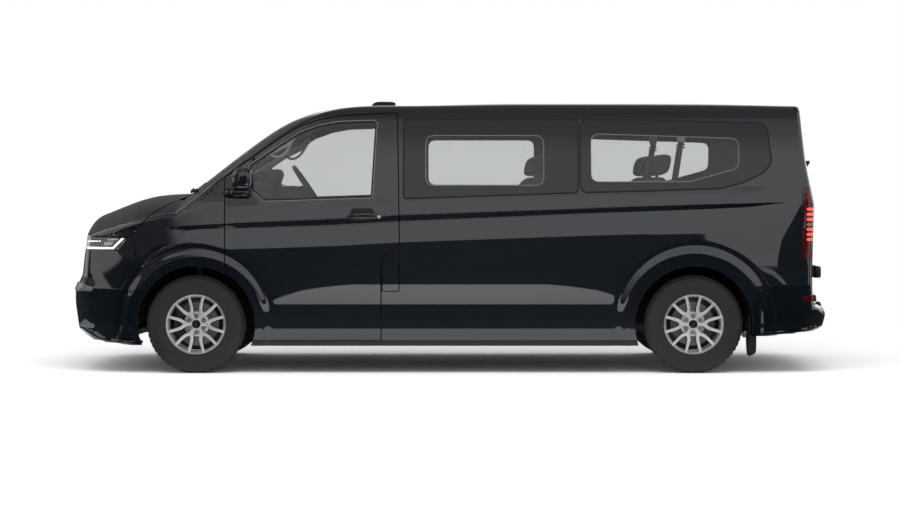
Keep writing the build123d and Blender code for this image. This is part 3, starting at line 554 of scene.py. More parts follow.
def painted(name, base):
    """Sprayed metallic base coat under lacquer: near black with a very fine sparkle and slight orange peel."""
    material, tree, shader, place = new_finish(name)
    flakes = add_node(tree, "ShaderNodeTexVoronoi", {"feature": "F1"}, {"Scale": FLAKES_PER_M}, Vector=place)
    tone = add_node(tree, "ShaderNodeMapRange", None, {3: 0.80, 4: 1.20}, Value=flakes.outputs["Distance"])
    coloured(tree, shader, base, tone)
    peel = add_node(tree, "ShaderNodeTexNoise", None, {"Scale": 260.0, "Detail": 1.0}, Vector=place)
    bump = add_node(tree, "ShaderNodeBump", None, {"Strength": 0.02, "Distance": 0.0004}, Height=peel.outputs["Fac"])
    tree.links.new(bump.outputs["Normal"], shader.inputs["Coat Normal"])
    set_sockets(shader, {"Metallic": 0.3, "Roughness": 0.42, "Specular IOR Level": 0.25, "Coat Weight": 1.0,
                         "Coat IOR": 1.66, "Coat Roughness": 0.02})
    return material


def moulded(name, base, roughness=0.55, grain=900.0, depth=0.00025):
    """Moulded plastic with the fine leather grain of its tool and faint uneven shine."""
    material, tree, shader, place, cloud, _ = clouded(name, base, 7.0, 3.0, 0.88, 1.12)
    cells = add_node(tree, "ShaderNodeTexVoronoi", {"feature": "SMOOTH_F1"}, {"Scale": grain}, Vector=place)
    dull = add_node(tree, "ShaderNodeMapRange", None, {3: roughness - 0.07, 4: roughness + 0.07},
                    Value=cloud.outputs["Fac"])
    tree.links.new(dull.outputs["Result"], shader.inputs["Roughness"])
    bump = add_node(tree, "ShaderNodeBump", None, {"Strength": 0.5, "Distance": depth},
                    Height=cells.outputs["Distance"])
    tree.links.new(bump.outputs["Normal"], shader.inputs["Normal"])
    return material


mica_paint = painted("sprayed_mica_paint", "#070e16")
jamb_plastic = moulded("moulded_trim_plastic", "#2a2a2b", roughness=0.6)
PAINTED = [mica_paint, jamb_plastic]

CELL = 16.0
WALL = 45.0
SKIN = 12.0
GAP = 6.0
PANE_GAP = 3.0
LAMP_GAP = 2.0
ARCH_R = 412
SILL_Z = 234
SILL_LOW_Z = 192
DOOR_FRONT_X = -1575
DOOR_TOP = [
    (-372, 1830), (-640, 1817), (-782, 1806), (-924, 1780), (-1066, 1727), (-1208, 1642), (-1423, 1490),
    (DOOR_FRONT_X, 1376),
]
DOOR_REAR = {
    "left": [(-486, SILL_Z), (-486, 790), (-474, 822), (-357, 903)],
    "right": [(-353, SILL_Z), (-357, 903)],
}
SIDE_GLASS = [(-327, 1226), (900, 1268), (900, 1790), (-327, 1790)]
QUARTER_GLASS = [
    (912, 1268), (1416, 1281), (1900, 1299), (2053, 1338), (2195, 1406), (2257, 1477), (2232, 1720),
    (2195, 1762), (912, 1790),
]
SLIDING_DOOR = [(-340, SILL_Z), (903, SILL_Z), (903, 1828), (-320, 1828), (-340, 1808)]
FUEL_FLAP = [(-474, 580), (-356, 580), (-356, 870), (-474, 790)]
BONNET_ZONE = [
    (-1880, 1262), (-2087, 1138), (-2187, 1024), (-2262, 962), (-3000, 962), (-3000, 1500), (-1880, 1500),
]
LAMP_ZONE = [(-2800, 868), (-2330, 868), (-2268, 950), (-2800, 956)]
FRONT_BUMPER_ZONE = [(-3000, 100), (-2100, 100), (-2100, 640), (-2208, 704), (-2336, 862), (-3000, 862)]
WING_REAR_X = -1581
FENDER_ZONE = [(WING_REAR_X, SILL_LOW_Z), (WING_REAR_X, 1262), (-1880, 1262), (-2087, 1138), (-2187, 1024),
               (-2262, 956), (-2330, 862), (-2208, 704), (-2100, 640), (-2100, SILL_LOW_Z)]
REAR_BUMPER_ZONE = [(2010, 100), (2125, 560), (2240, 690), (2900, 690), (2900, 100)]
SCREEN_PLAN = [(-2000, -790), (-700, -640), (-700, 640), (-2000, 790)]
HEADER_X = -960
SCREEN_LOW_X = -1878
BONNET_REAR_X = -1922


def ring_field(low_x, high_x):
    """Keeps what lies between two arcs drawn about the nose's pivot, named by where they cross the centre."""
    def field(p):
        at = NOSE_PIVOT_X - np.hypot(p[:, 0] - NOSE_PIVOT_X, p[:, 1])
        return np.maximum(low_x - at, at - high_x)
    return field


def arch_field(radius, end):
    """What lies within a radius of an axle, seen from the side."""
    return lambda p: np.hypot(p[:, 0] - AXLE_X[end], p[:, 2] - WHEEL_Z) - radius


def outboard(limit):
    """The field of what lies further than a limit from the middle, on either side."""
    return lambda p: limit - np.abs(p[:, 1])


def both(*fields):
    """The field of what lies inside several at once."""
    return lambda p: np.max([f(p) for f in fields], axis=0)


def either(*fields):
    """The field of what lies inside any of several."""
    return lambda p: np.min([f(p) for f in fields], axis=0)


screen_field = both(polygon_field(SCREEN_PLAN, TOP_VIEW, radius=60), ring_field(SCREEN_LOW_X, HEADER_X))
roof_field = either(polygon_field(rectangle(-1200, -664, -840, 664), TOP_VIEW),
                    polygon_field(rectangle(-880, -800, 2432, 800), TOP_VIEW))
tailgate_field = both(polygon_field(rectangle(-850, 706, 850, 2100), REAR_VIEW, radius=18), beyond(0, 2436))
lamp_field = both(polygon_field(LAMP_ZONE, radius=8), outboard(470))
tail_lamp_field = polygon_field(rectangle(2471, 804, 2900, 1301), radius=22)
door_field = {s: polygon_field([(DOOR_FRONT_X, SILL_Z)] + DOOR_REAR[s] + DOOR_TOP, radius=14) for s in SIDES}
flap_field = polygon_field(FUEL_FLAP, radius=10)
side_glass_field = polygon_field(SIDE_GLASS, radius=26)
quarter_glass_field = polygon_field(QUARTER_GLASS, radius=60)
sliding_door_field = polygon_field(SLIDING_DOOR, radius=16)
bonnet_field = both(polygon_field(BONNET_ZONE), ring_field(-4000, BONNET_REAR_X))
rear_bumper_field = polygon_field(REAR_BUMPER_ZONE, radius=20)
front_end_field = polygon_field([(WING_REAR_X, 0), (WING_REAR_X, 1262), (-3000, 1262), (-3000, 0)])


def grown(field, gap):
    """A field with its edge moved out by a gap."""
    return lambda p: field(p) - gap


def clear_of(field, gap):
    """The field of what stays at least a gap away from another."""
    return lambda p: gap - field(p)


def side_net(way, x_low, x_high, z_low, z_high, cell=CELL, tilt_from=1700.0, end=1):
    """The net of one side of the body between two places along it."""
    a, b = along_girdle(end, x_low), along_girdle(end, x_high)
    low, high = min(way * a, way * b), max(way * a, way * b)
    return girdle(end, low, high, z_low, z_high, cell=cell, tilt_from=tilt_from)


for side, way in SIDES.items():
    fields = [
        beyond(2, SILL_LOW_Z), without(front_end_field), without(roof_field), without(screen_field),
        clear_of(tailgate_field, GAP), without(rear_bumper_field), without(arch_field(ARCH_R, "front")),
        without(arch_field(ARCH_R, "rear")), clear_of(door_field[side], GAP),
        clear_of(tail_lamp_field, LAMP_GAP), clear_of(quarter_glass_field, PANE_GAP),
    ]
    if side == "left":
        fields += [clear_of(flap_field, PANE_GAP), clear_of(side_glass_field, PANE_GAP)]
    else:
        fields += [clear_of(sliding_door_field, GAP)]
    piece = panel(f"body_side_{side}", side_net(way, -2060, 3300, 170, 2120), fields, WALL,
                  PAINTED, "chassis", "body_paint")
    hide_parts(f"side_panel_{side}")

piece = panel("roof_skin", canopy(1240, 4760, 820, cell=24.0, base_z=1400.0),
              [roof_field, without(screen_field)], WALL, PAINTED, "chassis", "body_paint")
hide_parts("roof_panel")

for side, way in SIDES.items():
    piece = panel(f"front_wing_{side}", side_net(way, -2560, -1540, 170, 1420, cell=9.0, tilt_from=1000.0, end=-1),
                  [polygon_field(FENDER_ZONE), clear_of(bonnet_field, GAP), clear_of(lamp_field, LAMP_GAP),
                   without(arch_field(ARCH_R, "front"))], 30, [mica_paint], "chassis", "body_paint")
    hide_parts("front_wings")

bonnet = panel("bonnet_skin", canopy(-480, 480, 1230, cell=CELL), [bonnet_field], 24, PAINTED, "bonnet", "body_paint")
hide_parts("bonnet")

bumper = panel("front_bumper_skin", girdle(-1, -1330, 1330, 195, 900, cell=CELL), [
    polygon_field(FRONT_BUMPER_ZONE), without(arch_field(ARCH_R, "front")),
    without(polygon_field(rectangle(-560, 300, 560, 560), REAR_VIEW, radius=40))],
    WALL, [mica_paint], "chassis", "body_paint")
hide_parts("front_bumper")

bumper = panel("rear_bumper_skin", girdle(1, -1500, 1500, 180, 720, cell=CELL), [
    rear_bumper_field, without(arch_field(ARCH_R, "rear")),
    without(polygon_field(rectangle(-45, 200, 45, 436), REAR_VIEW))],
    WALL, [mica_paint], "chassis", "body_paint")
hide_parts("rear_bumper")

piece = panel("sliding_door_skin", side_net(1, -400, 960, 200, 2000),
              [sliding_door_field, clear_of(side_glass_field, PANE_GAP)], WALL, PAINTED, "chassis", "body_paint")
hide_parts("sliding_door")

# --- Front doors ---
# Each door is a pressed outer skin hemmed over a stepped inner frame, hung at its front edge. The step lets the
# skin cover the gap while the frame swings clear, and a rubber channel holds the drop glass.
DOOR_WINDOW = [
    (-1405, 1462), (-1405, 1302), (-1297, 1212), (-545, 1236), (-518, 1700), (-512, 1758), (-535, 1776),
    (-780, 1768), (-920, 1742), (-1050, 1696), (-1190, 1608),
]
DOOR_STEP = 22.0
SEAL = 11.0


def glazing(name, base):
    """Clear sheet, polished smooth, with a faint body tint that makes what stands behind it a little greyer."""
    material, tree, shader, *_ = clouded(name, base, 1.4, 2.0, 0.97, 1.0)
    set_sockets(shader, {"Transmission Weight": 1.0, "Roughness": 0.0, "IOR": 1.45})
    return material


clear_glass = glazing("toughened_green_glass", "#dfe1e0")
seal_rubber = moulded("extruded_epdm_rubber", "#161617", roughness=0.62, grain=1400.0, depth=0.0001)
bright_channel = moulded("anodised_grey_channel", "#85898c", roughness=0.35, grain=1400.0, depth=0.00005)
window_field = polygon_field(DOOR_WINDOW, radius=22)


def frame_strip(name, net, field, outer, inner, rise, material, body, slot, depth=8.0):
    """A strip of seal or trim that follows the edge of a pane."""
    return panel(name, net, [grown(field, outer), clear_of(field, inner)], depth, [material], body, slot,
                 sink=-rise, fold=0.8)


for side, way in SIDES.items():
    body = f"front_door_{side}"
    net = side_net(way, -1640, -280, 200, 2060, cell=20.0)
    skin = panel(f"door_skin_{side}", net, [
        door_field[side], clear_of(window_field, PANE_GAP), without(arch_field(ARCH_R + 6, "front"))],
        SKIN, PAINTED, body, "body_paint")
    panel(f"door_frame_{side}", net, [
        grown(door_field[side], -DOOR_STEP), clear_of(window_field, PANE_GAP),
        without(arch_field(ARCH_R + 22, "front"))], 34.0, PAINTED, body, "body_paint", sink=SKIN - 1)
    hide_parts(body)
    fine = side_net(way, -1440, -480, 1180, 1950, cell=14.0)
    pane = panel(f"door_pane_{side}", fine, [window_field], 5.0, [clear_glass], body, "glass", sink=5.0, fold=0.5)
    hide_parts(f"door_glass_{side}")
    frame_strip(f"door_window_seal_{side}", fine, window_field, 2.4, -SEAL, -2.6, seal_rubber, body, "rubber",
                depth=22.0)
    frame_strip(f"door_window_trim_{side}", fine, window_field, 5.0, 0.6, 1.2, bright_channel, body, "black_plastic",
                depth=5.0)

# --- Fixed side glass ---
# Large bonded panes stand flush with the body. Black enamel is fired round their edges to hide the glue, and
# leaves one clear opening with rounded corners in each.
GLASS_LAP = 6
SIDE_HOLE = rectangle(-172, 1318, 660, 1673)
QUARTER_HOLE = [(988, 1344), (1680, 1344), (2028, 1440), (2028, 1652), (988, 1686)]


def enamelled(name, base):
    """Fired enamel under glass, or a polished moulding: dark and glossy, in a slightly uneven tone."""
    material, tree, shader, *_ = clouded(name, base, 2.0, 2.0, 0.85, 1.15)
    set_sockets(shader, {"Roughness": 0.08, "Coat Weight": 0.15, "Coat Roughness": 0.02})
    return material


enamel = enamelled("fired_black_enamel", "#14171a")
hole_field = polygon_field(SIDE_HOLE, radius=62)
quarter_hole_field = polygon_field(QUARTER_HOLE, radius=62)
PANES = {
    "side": (side_glass_field, hole_field, -400, 960),
    "quarter": (quarter_glass_field, quarter_hole_field, 850, 2330),
}
for side, way in SIDES.items():
    for label, (pane_field, opening, x_low, x_high) in PANES.items():
        fine = side_net(way, x_low, x_high, 1190, 1900, cell=16.0)
        panel(f"{label}_enamel_{side}", fine, [pane_field, without(opening)], 3.0, [enamel], "chassis", "glass",
              fold=0.8)
        pane = panel(f"{label}_pane_{side}", fine, [grown(opening, GLASS_LAP)], 3.0, [clear_glass], "chassis",
                     "glass", sink=3.2, fold=0.4)
        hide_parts("side_windows")
        frame_strip(f"{label}_opening_edge_{side}", fine, opening, 1.0, -4.0, -1.0, bright_channel, "chassis",
                    "black_plastic", depth=3.0)
        frame_strip(f"{label}_glass_seal_{side}", fine, pane_field, 3.0, -7.0, 1.0, seal_rubber, "chassis", "rubber")

# --- Windscreen ---
# Laminated and curved, bonded in from outside, with a band of enamel round the edge and a black plastic cowl
# at its foot where the wipers park.
fine = canopy(300, 1520, 880, cell=18.0, base_z=1000.0)
inner_screen = both(polygon_field([(-1835, -715), (-1000, -600), (-1000, 600), (-1835, 715)], TOP_VIEW, radius=90),
                    ring_field(-1800, -1010))
panel("windscreen_enamel", fine, [screen_field, without(inner_screen)], 4.0, [enamel], "chassis", "glass", fold=0.8)
pane = panel("windscreen_pane", fine, [grown(inner_screen, GLASS_LAP)], 4.0, [clear_glass], "chassis", "glass",
             sink=4.2, fold=0.4)
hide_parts("windscreen")
frame_strip("windscreen_seal", fine, screen_field, 3.0, 0.0, -3.0, seal_rubber, "chassis", "rubber", depth=10.0)

# --- Headlamps ---
# A black moulded housing behind a clear polycarbonate lens. A light guide runs under the projectors as the
# daytime lamp, and a thinner one stands over them.
lamp_black = enamelled("vacuum_moulded_black_abs", "#141517")
lens_clear = glazing("clear_polycarbonate", "#f4f6f6")


def glowing(name, base, strength):
    """A light guide of opal plastic, lit from its end, which glows evenly."""
    material, tree, shader, _, _, colour = clouded(name, base, 60.0, 1.0, 0.94, 1.0)
    tree.links.new(colour, shader.inputs["Emission Color"])
    set_sockets(shader, {"Emission Strength": strength, "Roughness": 0.3})
    return material


def polyline_field(points, half_width, axes=SIDE_VIEW):
    """Distance outside a band drawn along a line of points."""
    corners = np.array(points, float)
    edges = corners[1:] - corners[:-1]

    def field(p):
        offset = p[:, axes][:, None, :] - corners[None, :-1]
        t = np.clip((offset * edges).sum(2) / (edges ** 2).sum(1), 0, 1)
        return np.sqrt(((offset - edges * t[..., None]) ** 2).sum(2).min(1)) - half_width
    return field


DAY_LAMP = [(-2655, 925), (-2622, 884), (-2580, 879), (-2375, 879), (-2300, 948)]
UPPER_GUIDE = [(-2670, 921), (-2470, 928)]
PROJECTORS = [
    [(-2418, 950), (-2330, 956), (-2342, 936), (-2410, 930)],
    [(-2440, 922), (-2372, 924), (-2388, 898), (-2448, 896)],
]
day_light = glowing("opal_light_guide", "#ffffff", strength=1.1)
chrome_plastic = moulded("vapour_plated_abs", "#aab0b4", roughness=0.18, grain=700.0, depth=0.00003)
for side, way in SIDES.items():
    low, high = sorted((way * 380, way * 1330))
    net = girdle(-1, low, high, 850, 970, cell=9.0)
    housing = panel(f"headlamp_housing_{side}", net, [lamp_field], 24.0, [lamp_black], "chassis", "lamp_lens",
                    sink=16.0)
    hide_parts("headlamps")
    panel(f"headlamp_lens_{side}", net, [lamp_field], 3.0, [lens_clear], "chassis", "lamp_lens", sink=0.5)
    fine = girdle(-1, low, high, 860, 970, cell=5.0)
    panel(f"day_lamp_{side}", fine, [polyline_field(DAY_LAMP, 6.5), grown(lamp_field, -3)], 6.0, [day_light],
          "chassis", "lamp_lens", sink=8.0, fold=1.0)
    panel(f"upper_light_guide_{side}", fine, [polyline_field(UPPER_GUIDE, 3.2), grown(lamp_field, -3)], 6.0,
          [day_light], "chassis", "lamp_lens", sink=8.0, fold=0.8)
    for i, outline in enumerate(PROJECTORS):
        panel(f"projector_{side}_{i}", fine, [polygon_field(outline, radius=6), grown(lamp_field, -4)], 10.0,
              [chrome_plastic], "chassis", "lamp_lens", sink=9.0, fold=1.5)

# --- Front grilles ---
# Bars moulded in black plastic and clipped in from behind: a slim band between the lamps with one plated bar,
# and a wide intake low in the bumper.
grille_black = moulded("moulded_black_abs", "#101112", roughness=0.4, depth=0.0001)
upper_band = both(polygon_field(rectangle(-470, 868, 470, 954), REAR_VIEW, radius=4), beyond(0, -2400, -1))
net = girdle(-1, -560, 560, 840, 975, cell=10.0)
piece = panel("upper_grille_back", net, [upper_band], 12.0, [grille_black], "chassis", "black_plastic", sink=22.0)
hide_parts("grille")
for i, (z, half, finish, sink) in enumerate((
        (884, 7, grille_black, 2.0), (911, 4, chrome_plastic, 0.0), (938, 7, grille_black, 2.0))):
    bar = both(upper_band, lambda p, z=z, half=half: np.abs(p[:, 2] - z) - half)
    panel(f"upper_grille_bar_{i}", net, [bar], 18.0, [finish], "chassis", "black_plastic", sink=sink)
intake = polygon_field(rectangle(-556, 304, 556, 556), REAR_VIEW, radius=40)
net = girdle(-1, -700, 700, 280, 580, cell=14.0)
panel("intake_back", net, [intake], 10.0, [grille_black], "chassis", "black_plastic", sink=34.0)
for i, z in enumerate(range(330, 556, 40)):
    bar = both(intake, lambda p, z=z: np.abs(p[:, 2] - z) - 9)
    panel(f"intake_bar_{i}", net, [bar], 26.0, [grille_black], "chassis", "black_plastic", sink=6.0)

# --- Tailgate ---
# One full-height steel pressing hinged at the roof, with a bonded pane behind an enamelled border and a recess
# for the rear plate.
REAR_WINDOW = [(-700, 1270), (700, 1270), (640, 1740), (-640, 1740)]
net = girdle(1, -1060, 1060, 690, 2080, cell=20.0)
rear_glass_field = both(polygon_field(REAR_WINDOW, REAR_VIEW, radius=70), beyond(0, 2400))
plate_recess = both(polygon_field(rectangle(-300, 900, 300, 1060), REAR_VIEW, radius=24), beyond(0, 2400))
skin = panel("tailgate_skin", net, [tailgate_field, clear_of(rear_glass_field, PANE_GAP), without(plate_recess)],
             WALL, PAINTED, "tailgate", "body_paint")
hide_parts("tailgate")
panel("plate_recess", net, [plate_recess], 20.0, [mica_paint], "tailgate", "body_paint", sink=20.0)
fine = girdle(1, -760, 760, 1240, 1790, cell=16.0)
clear = both(polygon_field([(-610, 1335), (610, 1335), (560, 1680), (-560, 1680)], REAR_VIEW, radius=60),
             beyond(0, 2400))
panel("tailgate_enamel", fine, [rear_glass_field, without(clear)], 4.0, [enamel], "tailgate", "glass", fold=0.8)
pane = panel("tailgate_pane", fine, [grown(clear, GLASS_LAP)], 4.0, [clear_glass], "tailgate", "glass", sink=4.2,
             fold=0.4)
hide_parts("tailgate_glass")
frame_strip("tailgate_glass_seal", fine, rear_glass_field, 3.0, 0.0, -2.0, seal_rubber, "tailgate", "rubber")

# --- Tail lamps ---
# Tall red acrylic lenses bolted into the rear corners, with seven bars in each, of which the middle one is clear
# and the others are lit. A small red reflector sits below each in the bumper.
red_lens = enamelled("moulded_red_acrylic", "#4a0d14")
red_glow = glowing("lit_red_acrylic", "#ff5a48", strength=1.0)
clear_bar = moulded("clear_ribbed_acrylic", "#8d8466", roughness=0.3, grain=500.0, depth=0.0001)
BAR_HEIGHTS = (1154, 1118, 1082, 1046, 1012, 977, 941)
for side, way in SIDES.items():
    low, high = sorted((way * 800, way * 1480))
    net = girdle(1, low, high, 790, 1320, cell=12.0)
    lamp = both(tail_lamp_field, outboard(857))
    lens = panel(f"tail_lamp_lens_{side}", net, [lamp], 30.0, [red_lens], "chassis", "red_lens", sink=1.0)
    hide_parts("tail_lamps")
    fine = girdle(1, low, high, 920, 1180, cell=5.0)
    for i, z in enumerate(BAR_HEIGHTS):
        bar = both(polygon_field(rectangle(2502, z - 9, 2610, z + 9), radius=4), outboard(872))
        panel(f"tail_lamp_bar_{side}_{i}", fine, [bar], 5.0, [clear_bar if i == 3 else red_glow], "chassis",
              "red_lens", sink=-1.2, fold=0.8)
    reflector = polygon_field(rectangle(2480, 505, 2640, 545), radius=6)
    panel(f"rear_reflector_{side}", girdle(1, low, high, 490, 560, cell=8.0),
          [reflector, outboard(760)], 6.0, [red_lens], "chassis", "red_lens", sink=-2.0, fold=0.8)

# --- Fuel flap ---
# A small painted steel flap on a hinge at its front edge, flush with the side behind the left front door.
piece = panel("fuel_flap_skin", side_net(-1, -540, -300, 540, 900, cell=10.0), [grown(flap_field, -1)], SKIN,
              [mica_paint], "fuel_flap", "body_paint")
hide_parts("fuel_flap")

# --- Wheels ---
# Cast aluminium wheels, machined and lacquered silver: six Y-shaped spokes run from the hub to the rim, with six
# bolts in the gaps between them and a blank cap in the middle. A steel brake disc turns behind each.
WHEEL_Y = 870.0
FACE_DEPTH = 26.0
SPOKE_EDGE = 2.6
BRANCH = [(72, 0.0), (84, 5.0), (96, 10.5), (108, 13.4), (124, 14.8), (150, 15.3), (190, 15.2), (216, 15.0)]


def cast_metal(name, base, roughness, metallic=1.0, grain=90.0):
    """Metal with a fine lacquered or machined skin and faint tool marks."""
    material, tree, shader, _, cloud, _ = clouded(name, base, grain, 4.0, 0.9, 1.08)
    dull = add_node(tree, "ShaderNodeMapRange", None, {3: roughness * 0.8, 4: roughness * 1.2},
                    Value=cloud.outputs["Fac"])
    tree.links.new(dull.outputs["Result"], shader.inputs["Roughness"])
    bump = add_node(tree, "ShaderNodeBump", None, {"Strength": 0.15, "Distance": 0.0002}, Height=cloud.outputs["Fac"])
    tree.links.new(bump.outputs["Normal"], shader.inputs["Normal"])
    set_sockets(shader, {"Metallic": metallic})
    return material


silver = cast_metal("lacquered_cast_aluminium", "#dcdde0", roughness=0.4, metallic=0.75)
disc_steel = cast_metal("turned_grey_iron", "#5f5e5d", roughness=0.34)
bolt_steel = cast_metal("zinc_plated_steel", "#b9b9b6", roughness=0.28)
tyre_rubber = moulded("cured_tyre_rubber", "#252627", roughness=0.72, grain=420.0, depth=0.0003)


def turned(profile, segments=96):
    """Points and faces of a closed section (radius, height) turned about the w axis."""
    rows = len(profile)
    a = np.arange(segments) * 2 * math.pi / segments
    r, w = np.array(profile, float).T
    points = np.stack([np.outer(np.cos(a), r), np.outer(np.sin(a), r), np.tile(w, (segments, 1))], 2).reshape(-1, 3)
    faces = [(i * rows + j, i * rows + (j + 1) % rows, (i + 1) % segments * rows + (j + 1) % rows,
              (i + 1) % segments * rows + j) for i in range(segments) for j in range(rows)]
    return points, faces


def rounded_profile(points, radius=3.0, cuts=3):
    """A closed section with each corner replaced by a small curve."""
    rows, n = [], len(points)
    for i in range(n):
        c = np.array(points[i], float)
        a, b = np.array(points[i - 1]) - c, np.array(points[(i + 1) % n]) - c
        la, lb = np.linalg.norm(a), np.linalg.norm(b)
        pull = min(radius, 0.45 * la, 0.45 * lb)
        for t in np.linspace(0, 1, cuts):
            rows.append(tuple(c + a / la * pull * (1 - t) ** 2 + b / lb * pull * t ** 2))
    return rows


def spoke_field(p):
    """How far a point of the face lies outside the six forked spokes."""
    r, a = np.hypot(p[:, 0], p[:, 1]), np.arctan2(p[:, 1], p[:, 0])
    a = np.abs((a + math.pi / 6) % (math.pi / 3) - math.pi / 6)
    q = np.stack([r * np.cos(a), r * np.sin(a)], 1)
    rows = np.array([(radius * math.cos(math.radians(t)), radius * math.sin(math.radians(t))) for radius, t in BRANCH])
    fork = polyline_field(rows, 0, TOP_VIEW)(q) - (13.6 - 1.6 * ramp(r, 90, 190))
    stem = np.hypot(q[:, 0] - np.clip(q[:, 0], 0, 84), q[:, 1]) - 13
    distance = stem
    for other, soft in ((fork, 8), (r - 40, 10)):
        share = np.clip(0.5 + 0.5 * (other - distance) / soft, 0, 1)
        distance = other + (distance - other) * share - soft * share * (1 - share)
    return distance


def face_level(p):
    """How far the wheel's face stands out from its middle plane: a shallow bowl with crowned spokes."""
    r = np.hypot(p[:, 0], p[:, 1])
    crown = 1 - (1 - np.clip(-spoke_field(p) / 10, 0, 1)) ** 2
    return 54 + 17 * ramp(r, 40, 205) + 5 * crown


def wheel_net(r_low, r_high, cell):
    """A polar net of the wheel's face."""
    rings = np.arange(r_low, r_high + cell, cell)
    turns = int(round(2 * math.pi * 150 / cell / 12) * 12)
    a = np.arange(turns) * 2 * math.pi / turns
    points = np.stack([np.outer(rings, np.cos(a)), np.outer(rings, np.sin(a))], 2).reshape(-1, 2)
    points = np.column_stack([points, face_level(points)])
    index = np.arange(len(points)).reshape(len(rings), turns)
    p, q = index[:-1], index[1:]
    p2, q2 = np.roll(p, -1, 1), np.roll(q, -1, 1)
    faces = np.concatenate([np.stack([p, q, q2], 2).reshape(-1, 3), np.stack([p, q2, p2], 2).reshape(-1, 3)])
    return points, faces


def face_normal(p):
    """Unit normals of the wheel's face at points on it."""
    step = 1.0
    slope = [(face_level(p + step * d) - face_level(p - step * d)) / (2 * step) for d in np.eye(3)[:2]]
    normal = np.stack([-slope[0], -slope[1], np.ones(len(p))], 1)
    return normal / np.linalg.norm(normal, axis=1, keepdims=True)


def ring_tree(name, vertices):
    """Nodes that set small prisms round a circle, facing outwards, on rows along its axis."""
    tree = bpy.data.node_groups.new(name, "GeometryNodeTree")
    face = tree.interface
    face.new_socket("Geometry", in_out="OUTPUT", socket_type="NodeSocketGeometry")
    for label, kind, value in (("Count", "NodeSocketInt", 60), ("Ring radius", "NodeSocketFloat", 0.3),
                               ("Piece size", "NodeSocketVector", (0.01, 0.01, 0.01)),
                               ("Start angle", "NodeSocketFloat", 0), ("Height", "NodeSocketFloat", 0),
                               ("Material", "NodeSocketMaterial", None)):
        socket = face.new_socket(label, in_out="INPUT", socket_type=kind)
        if value is not None:
            socket.default_value = value
    given = add_node(tree, "NodeGroupInput").outputs
    ring = add_node(tree, "GeometryNodeMeshCircle", Vertices=given["Count"], Radius=given["Ring radius"])
    step = add_node(tree, "ShaderNodeMath", {"operation": "DIVIDE"}, {0: 2 * math.pi}, i1=given["Count"])
    angle = add_node(tree, "ShaderNodeMath", {"operation": "MULTIPLY"}, None,
                     i0=add_node(tree, "GeometryNodeInputIndex").outputs[0], i1=step.outputs[0])
    turn = add_node(tree, "ShaderNodeCombineXYZ", Z=angle.outputs[0])
    piece = add_node(tree, "GeometryNodeMeshCylinder" if vertices else "GeometryNodeMeshCube",
                     None, {"Vertices": vertices, "Radius": 1.0, "Depth": 1.0} if vertices else {"Size": (1, 1, 1)})
    spread = add_node(tree, "GeometryNodeInstanceOnPoints", Points=ring.outputs[0],
                      Instance=piece.outputs[0], Rotation=turn.outputs[0], Scale=given["Piece size"])
    start = add_node(tree, "ShaderNodeCombineXYZ", Z=given["Start angle"])
    lift = add_node(tree, "ShaderNodeCombineXYZ", Z=given["Height"])
    moved = add_node(tree, "GeometryNodeTransform", Geometry=spread.outputs[0],
                     Translation=lift.outputs[0], Rotation=start.outputs[0])
    real = add_node(tree, "GeometryNodeRealizeInstances", Geometry=moved.outputs[0])
    finish = add_node(tree, "GeometryNodeSetMaterial", Geometry=real.outputs[0], Material=given["Material"])
    end = add_node(tree, "NodeGroupOutput")
    tree.links.new(finish.outputs[0], end.inputs[0])
    return tree


def grown_mesh(tree, values):
    """Runs a node tree once and returns its result as points in millimetres and faces."""
    holder = bpy.data.objects.new("holder", bpy.data.meshes.new("holder"))
    bpy.context.scene.collection.objects.link(holder)
    modifier = holder.modifiers.new("nodes", "NODES")
    modifier.node_group = tree
    sockets = {s.name: s.identifier for s in tree.interface.items_tree if s.in_out == "INPUT"}
    for label, value in values.items():
        modifier[sockets[label]] = value
    result = bpy.data.meshes.new_from_object(holder.evaluated_get(bpy.context.evaluated_depsgraph_get()))
    points = np.empty(len(result.vertices) * 3)
    result.vertices.foreach_get("co", points)
    faces = [tuple(f.vertices) for f in result.polygons]
    holder.modifiers.clear()
    bpy.data.objects.remove(holder)
    bpy.data.meshes.remove(result)
    return points.reshape(-1, 3) * 1000, faces


block_tree, bolt_tree = ring_tree("tread_ring", 0), ring_tree("bolt_ring", 6)
TREAD_ROWS = [(-70, 25, 56, 0.0), (-36, 25, 62, 0.03), (0, 22, 62, 0.07), (36, 25, 62, 0.05), (70, 25, 56, 0.02)]


def placed(points, way, axle_x):
    """Moves wheel points (u along the vehicle, v up, w outwards) to their place on one side."""
    return np.column_stack([points[:, 0] + axle_x, way * (points[:, 2] + WHEEL_Y), points[:, 1] + WHEEL_Z])


def joined(parts):
    """Several parts' points and faces as one."""
    points, faces, count = [], [], 0
    for p, f in parts:
        points.append(np.asarray(p))
        faces += [tuple(int(i) + count for i in face) for face in f]
        count += len(p)
    return np.concatenate(points), faces


tyre_section = [
    (207, -84), (212, -92), (226, -97), (240, -101), (262, -106), (286, -108), (306, -105), (322, -99), (331, -91),
    (335, -80), (336, -54), (331, -52), (331, -48), (336, -47), (336.5, -18), (331, -16), (331, -12), (336.5, -11),
    (336.5, 11), (331, 12), (331, 16), (336.5, 18), (336, 47), (331, 48), (331, 52), (336, 54), (335, 80), (331, 91),
    (322, 99), (318, 102), (316, 101.5), (306, 105), (286, 108), (268, 107), (265, 108.4), (261, 106.4), (244, 102.5),
    (240, 103.2), (236, 101), (226, 97), (222, 97), (212, 92), (207, 84),
]
rim_section = rounded_profile([
    (196, -92), (214, -92), (217, -84), (208, -80), (204, -60), (198, 40), (206, 66), (209, 76), (217, 80), (219, 86),
    (216, 89), (208, 88), (200, 76), (190, 60), (188, 30), (192, -60),
], radius=2.5)
net_points, net_triangles = wheel_net(24, 213, cell=3.6)
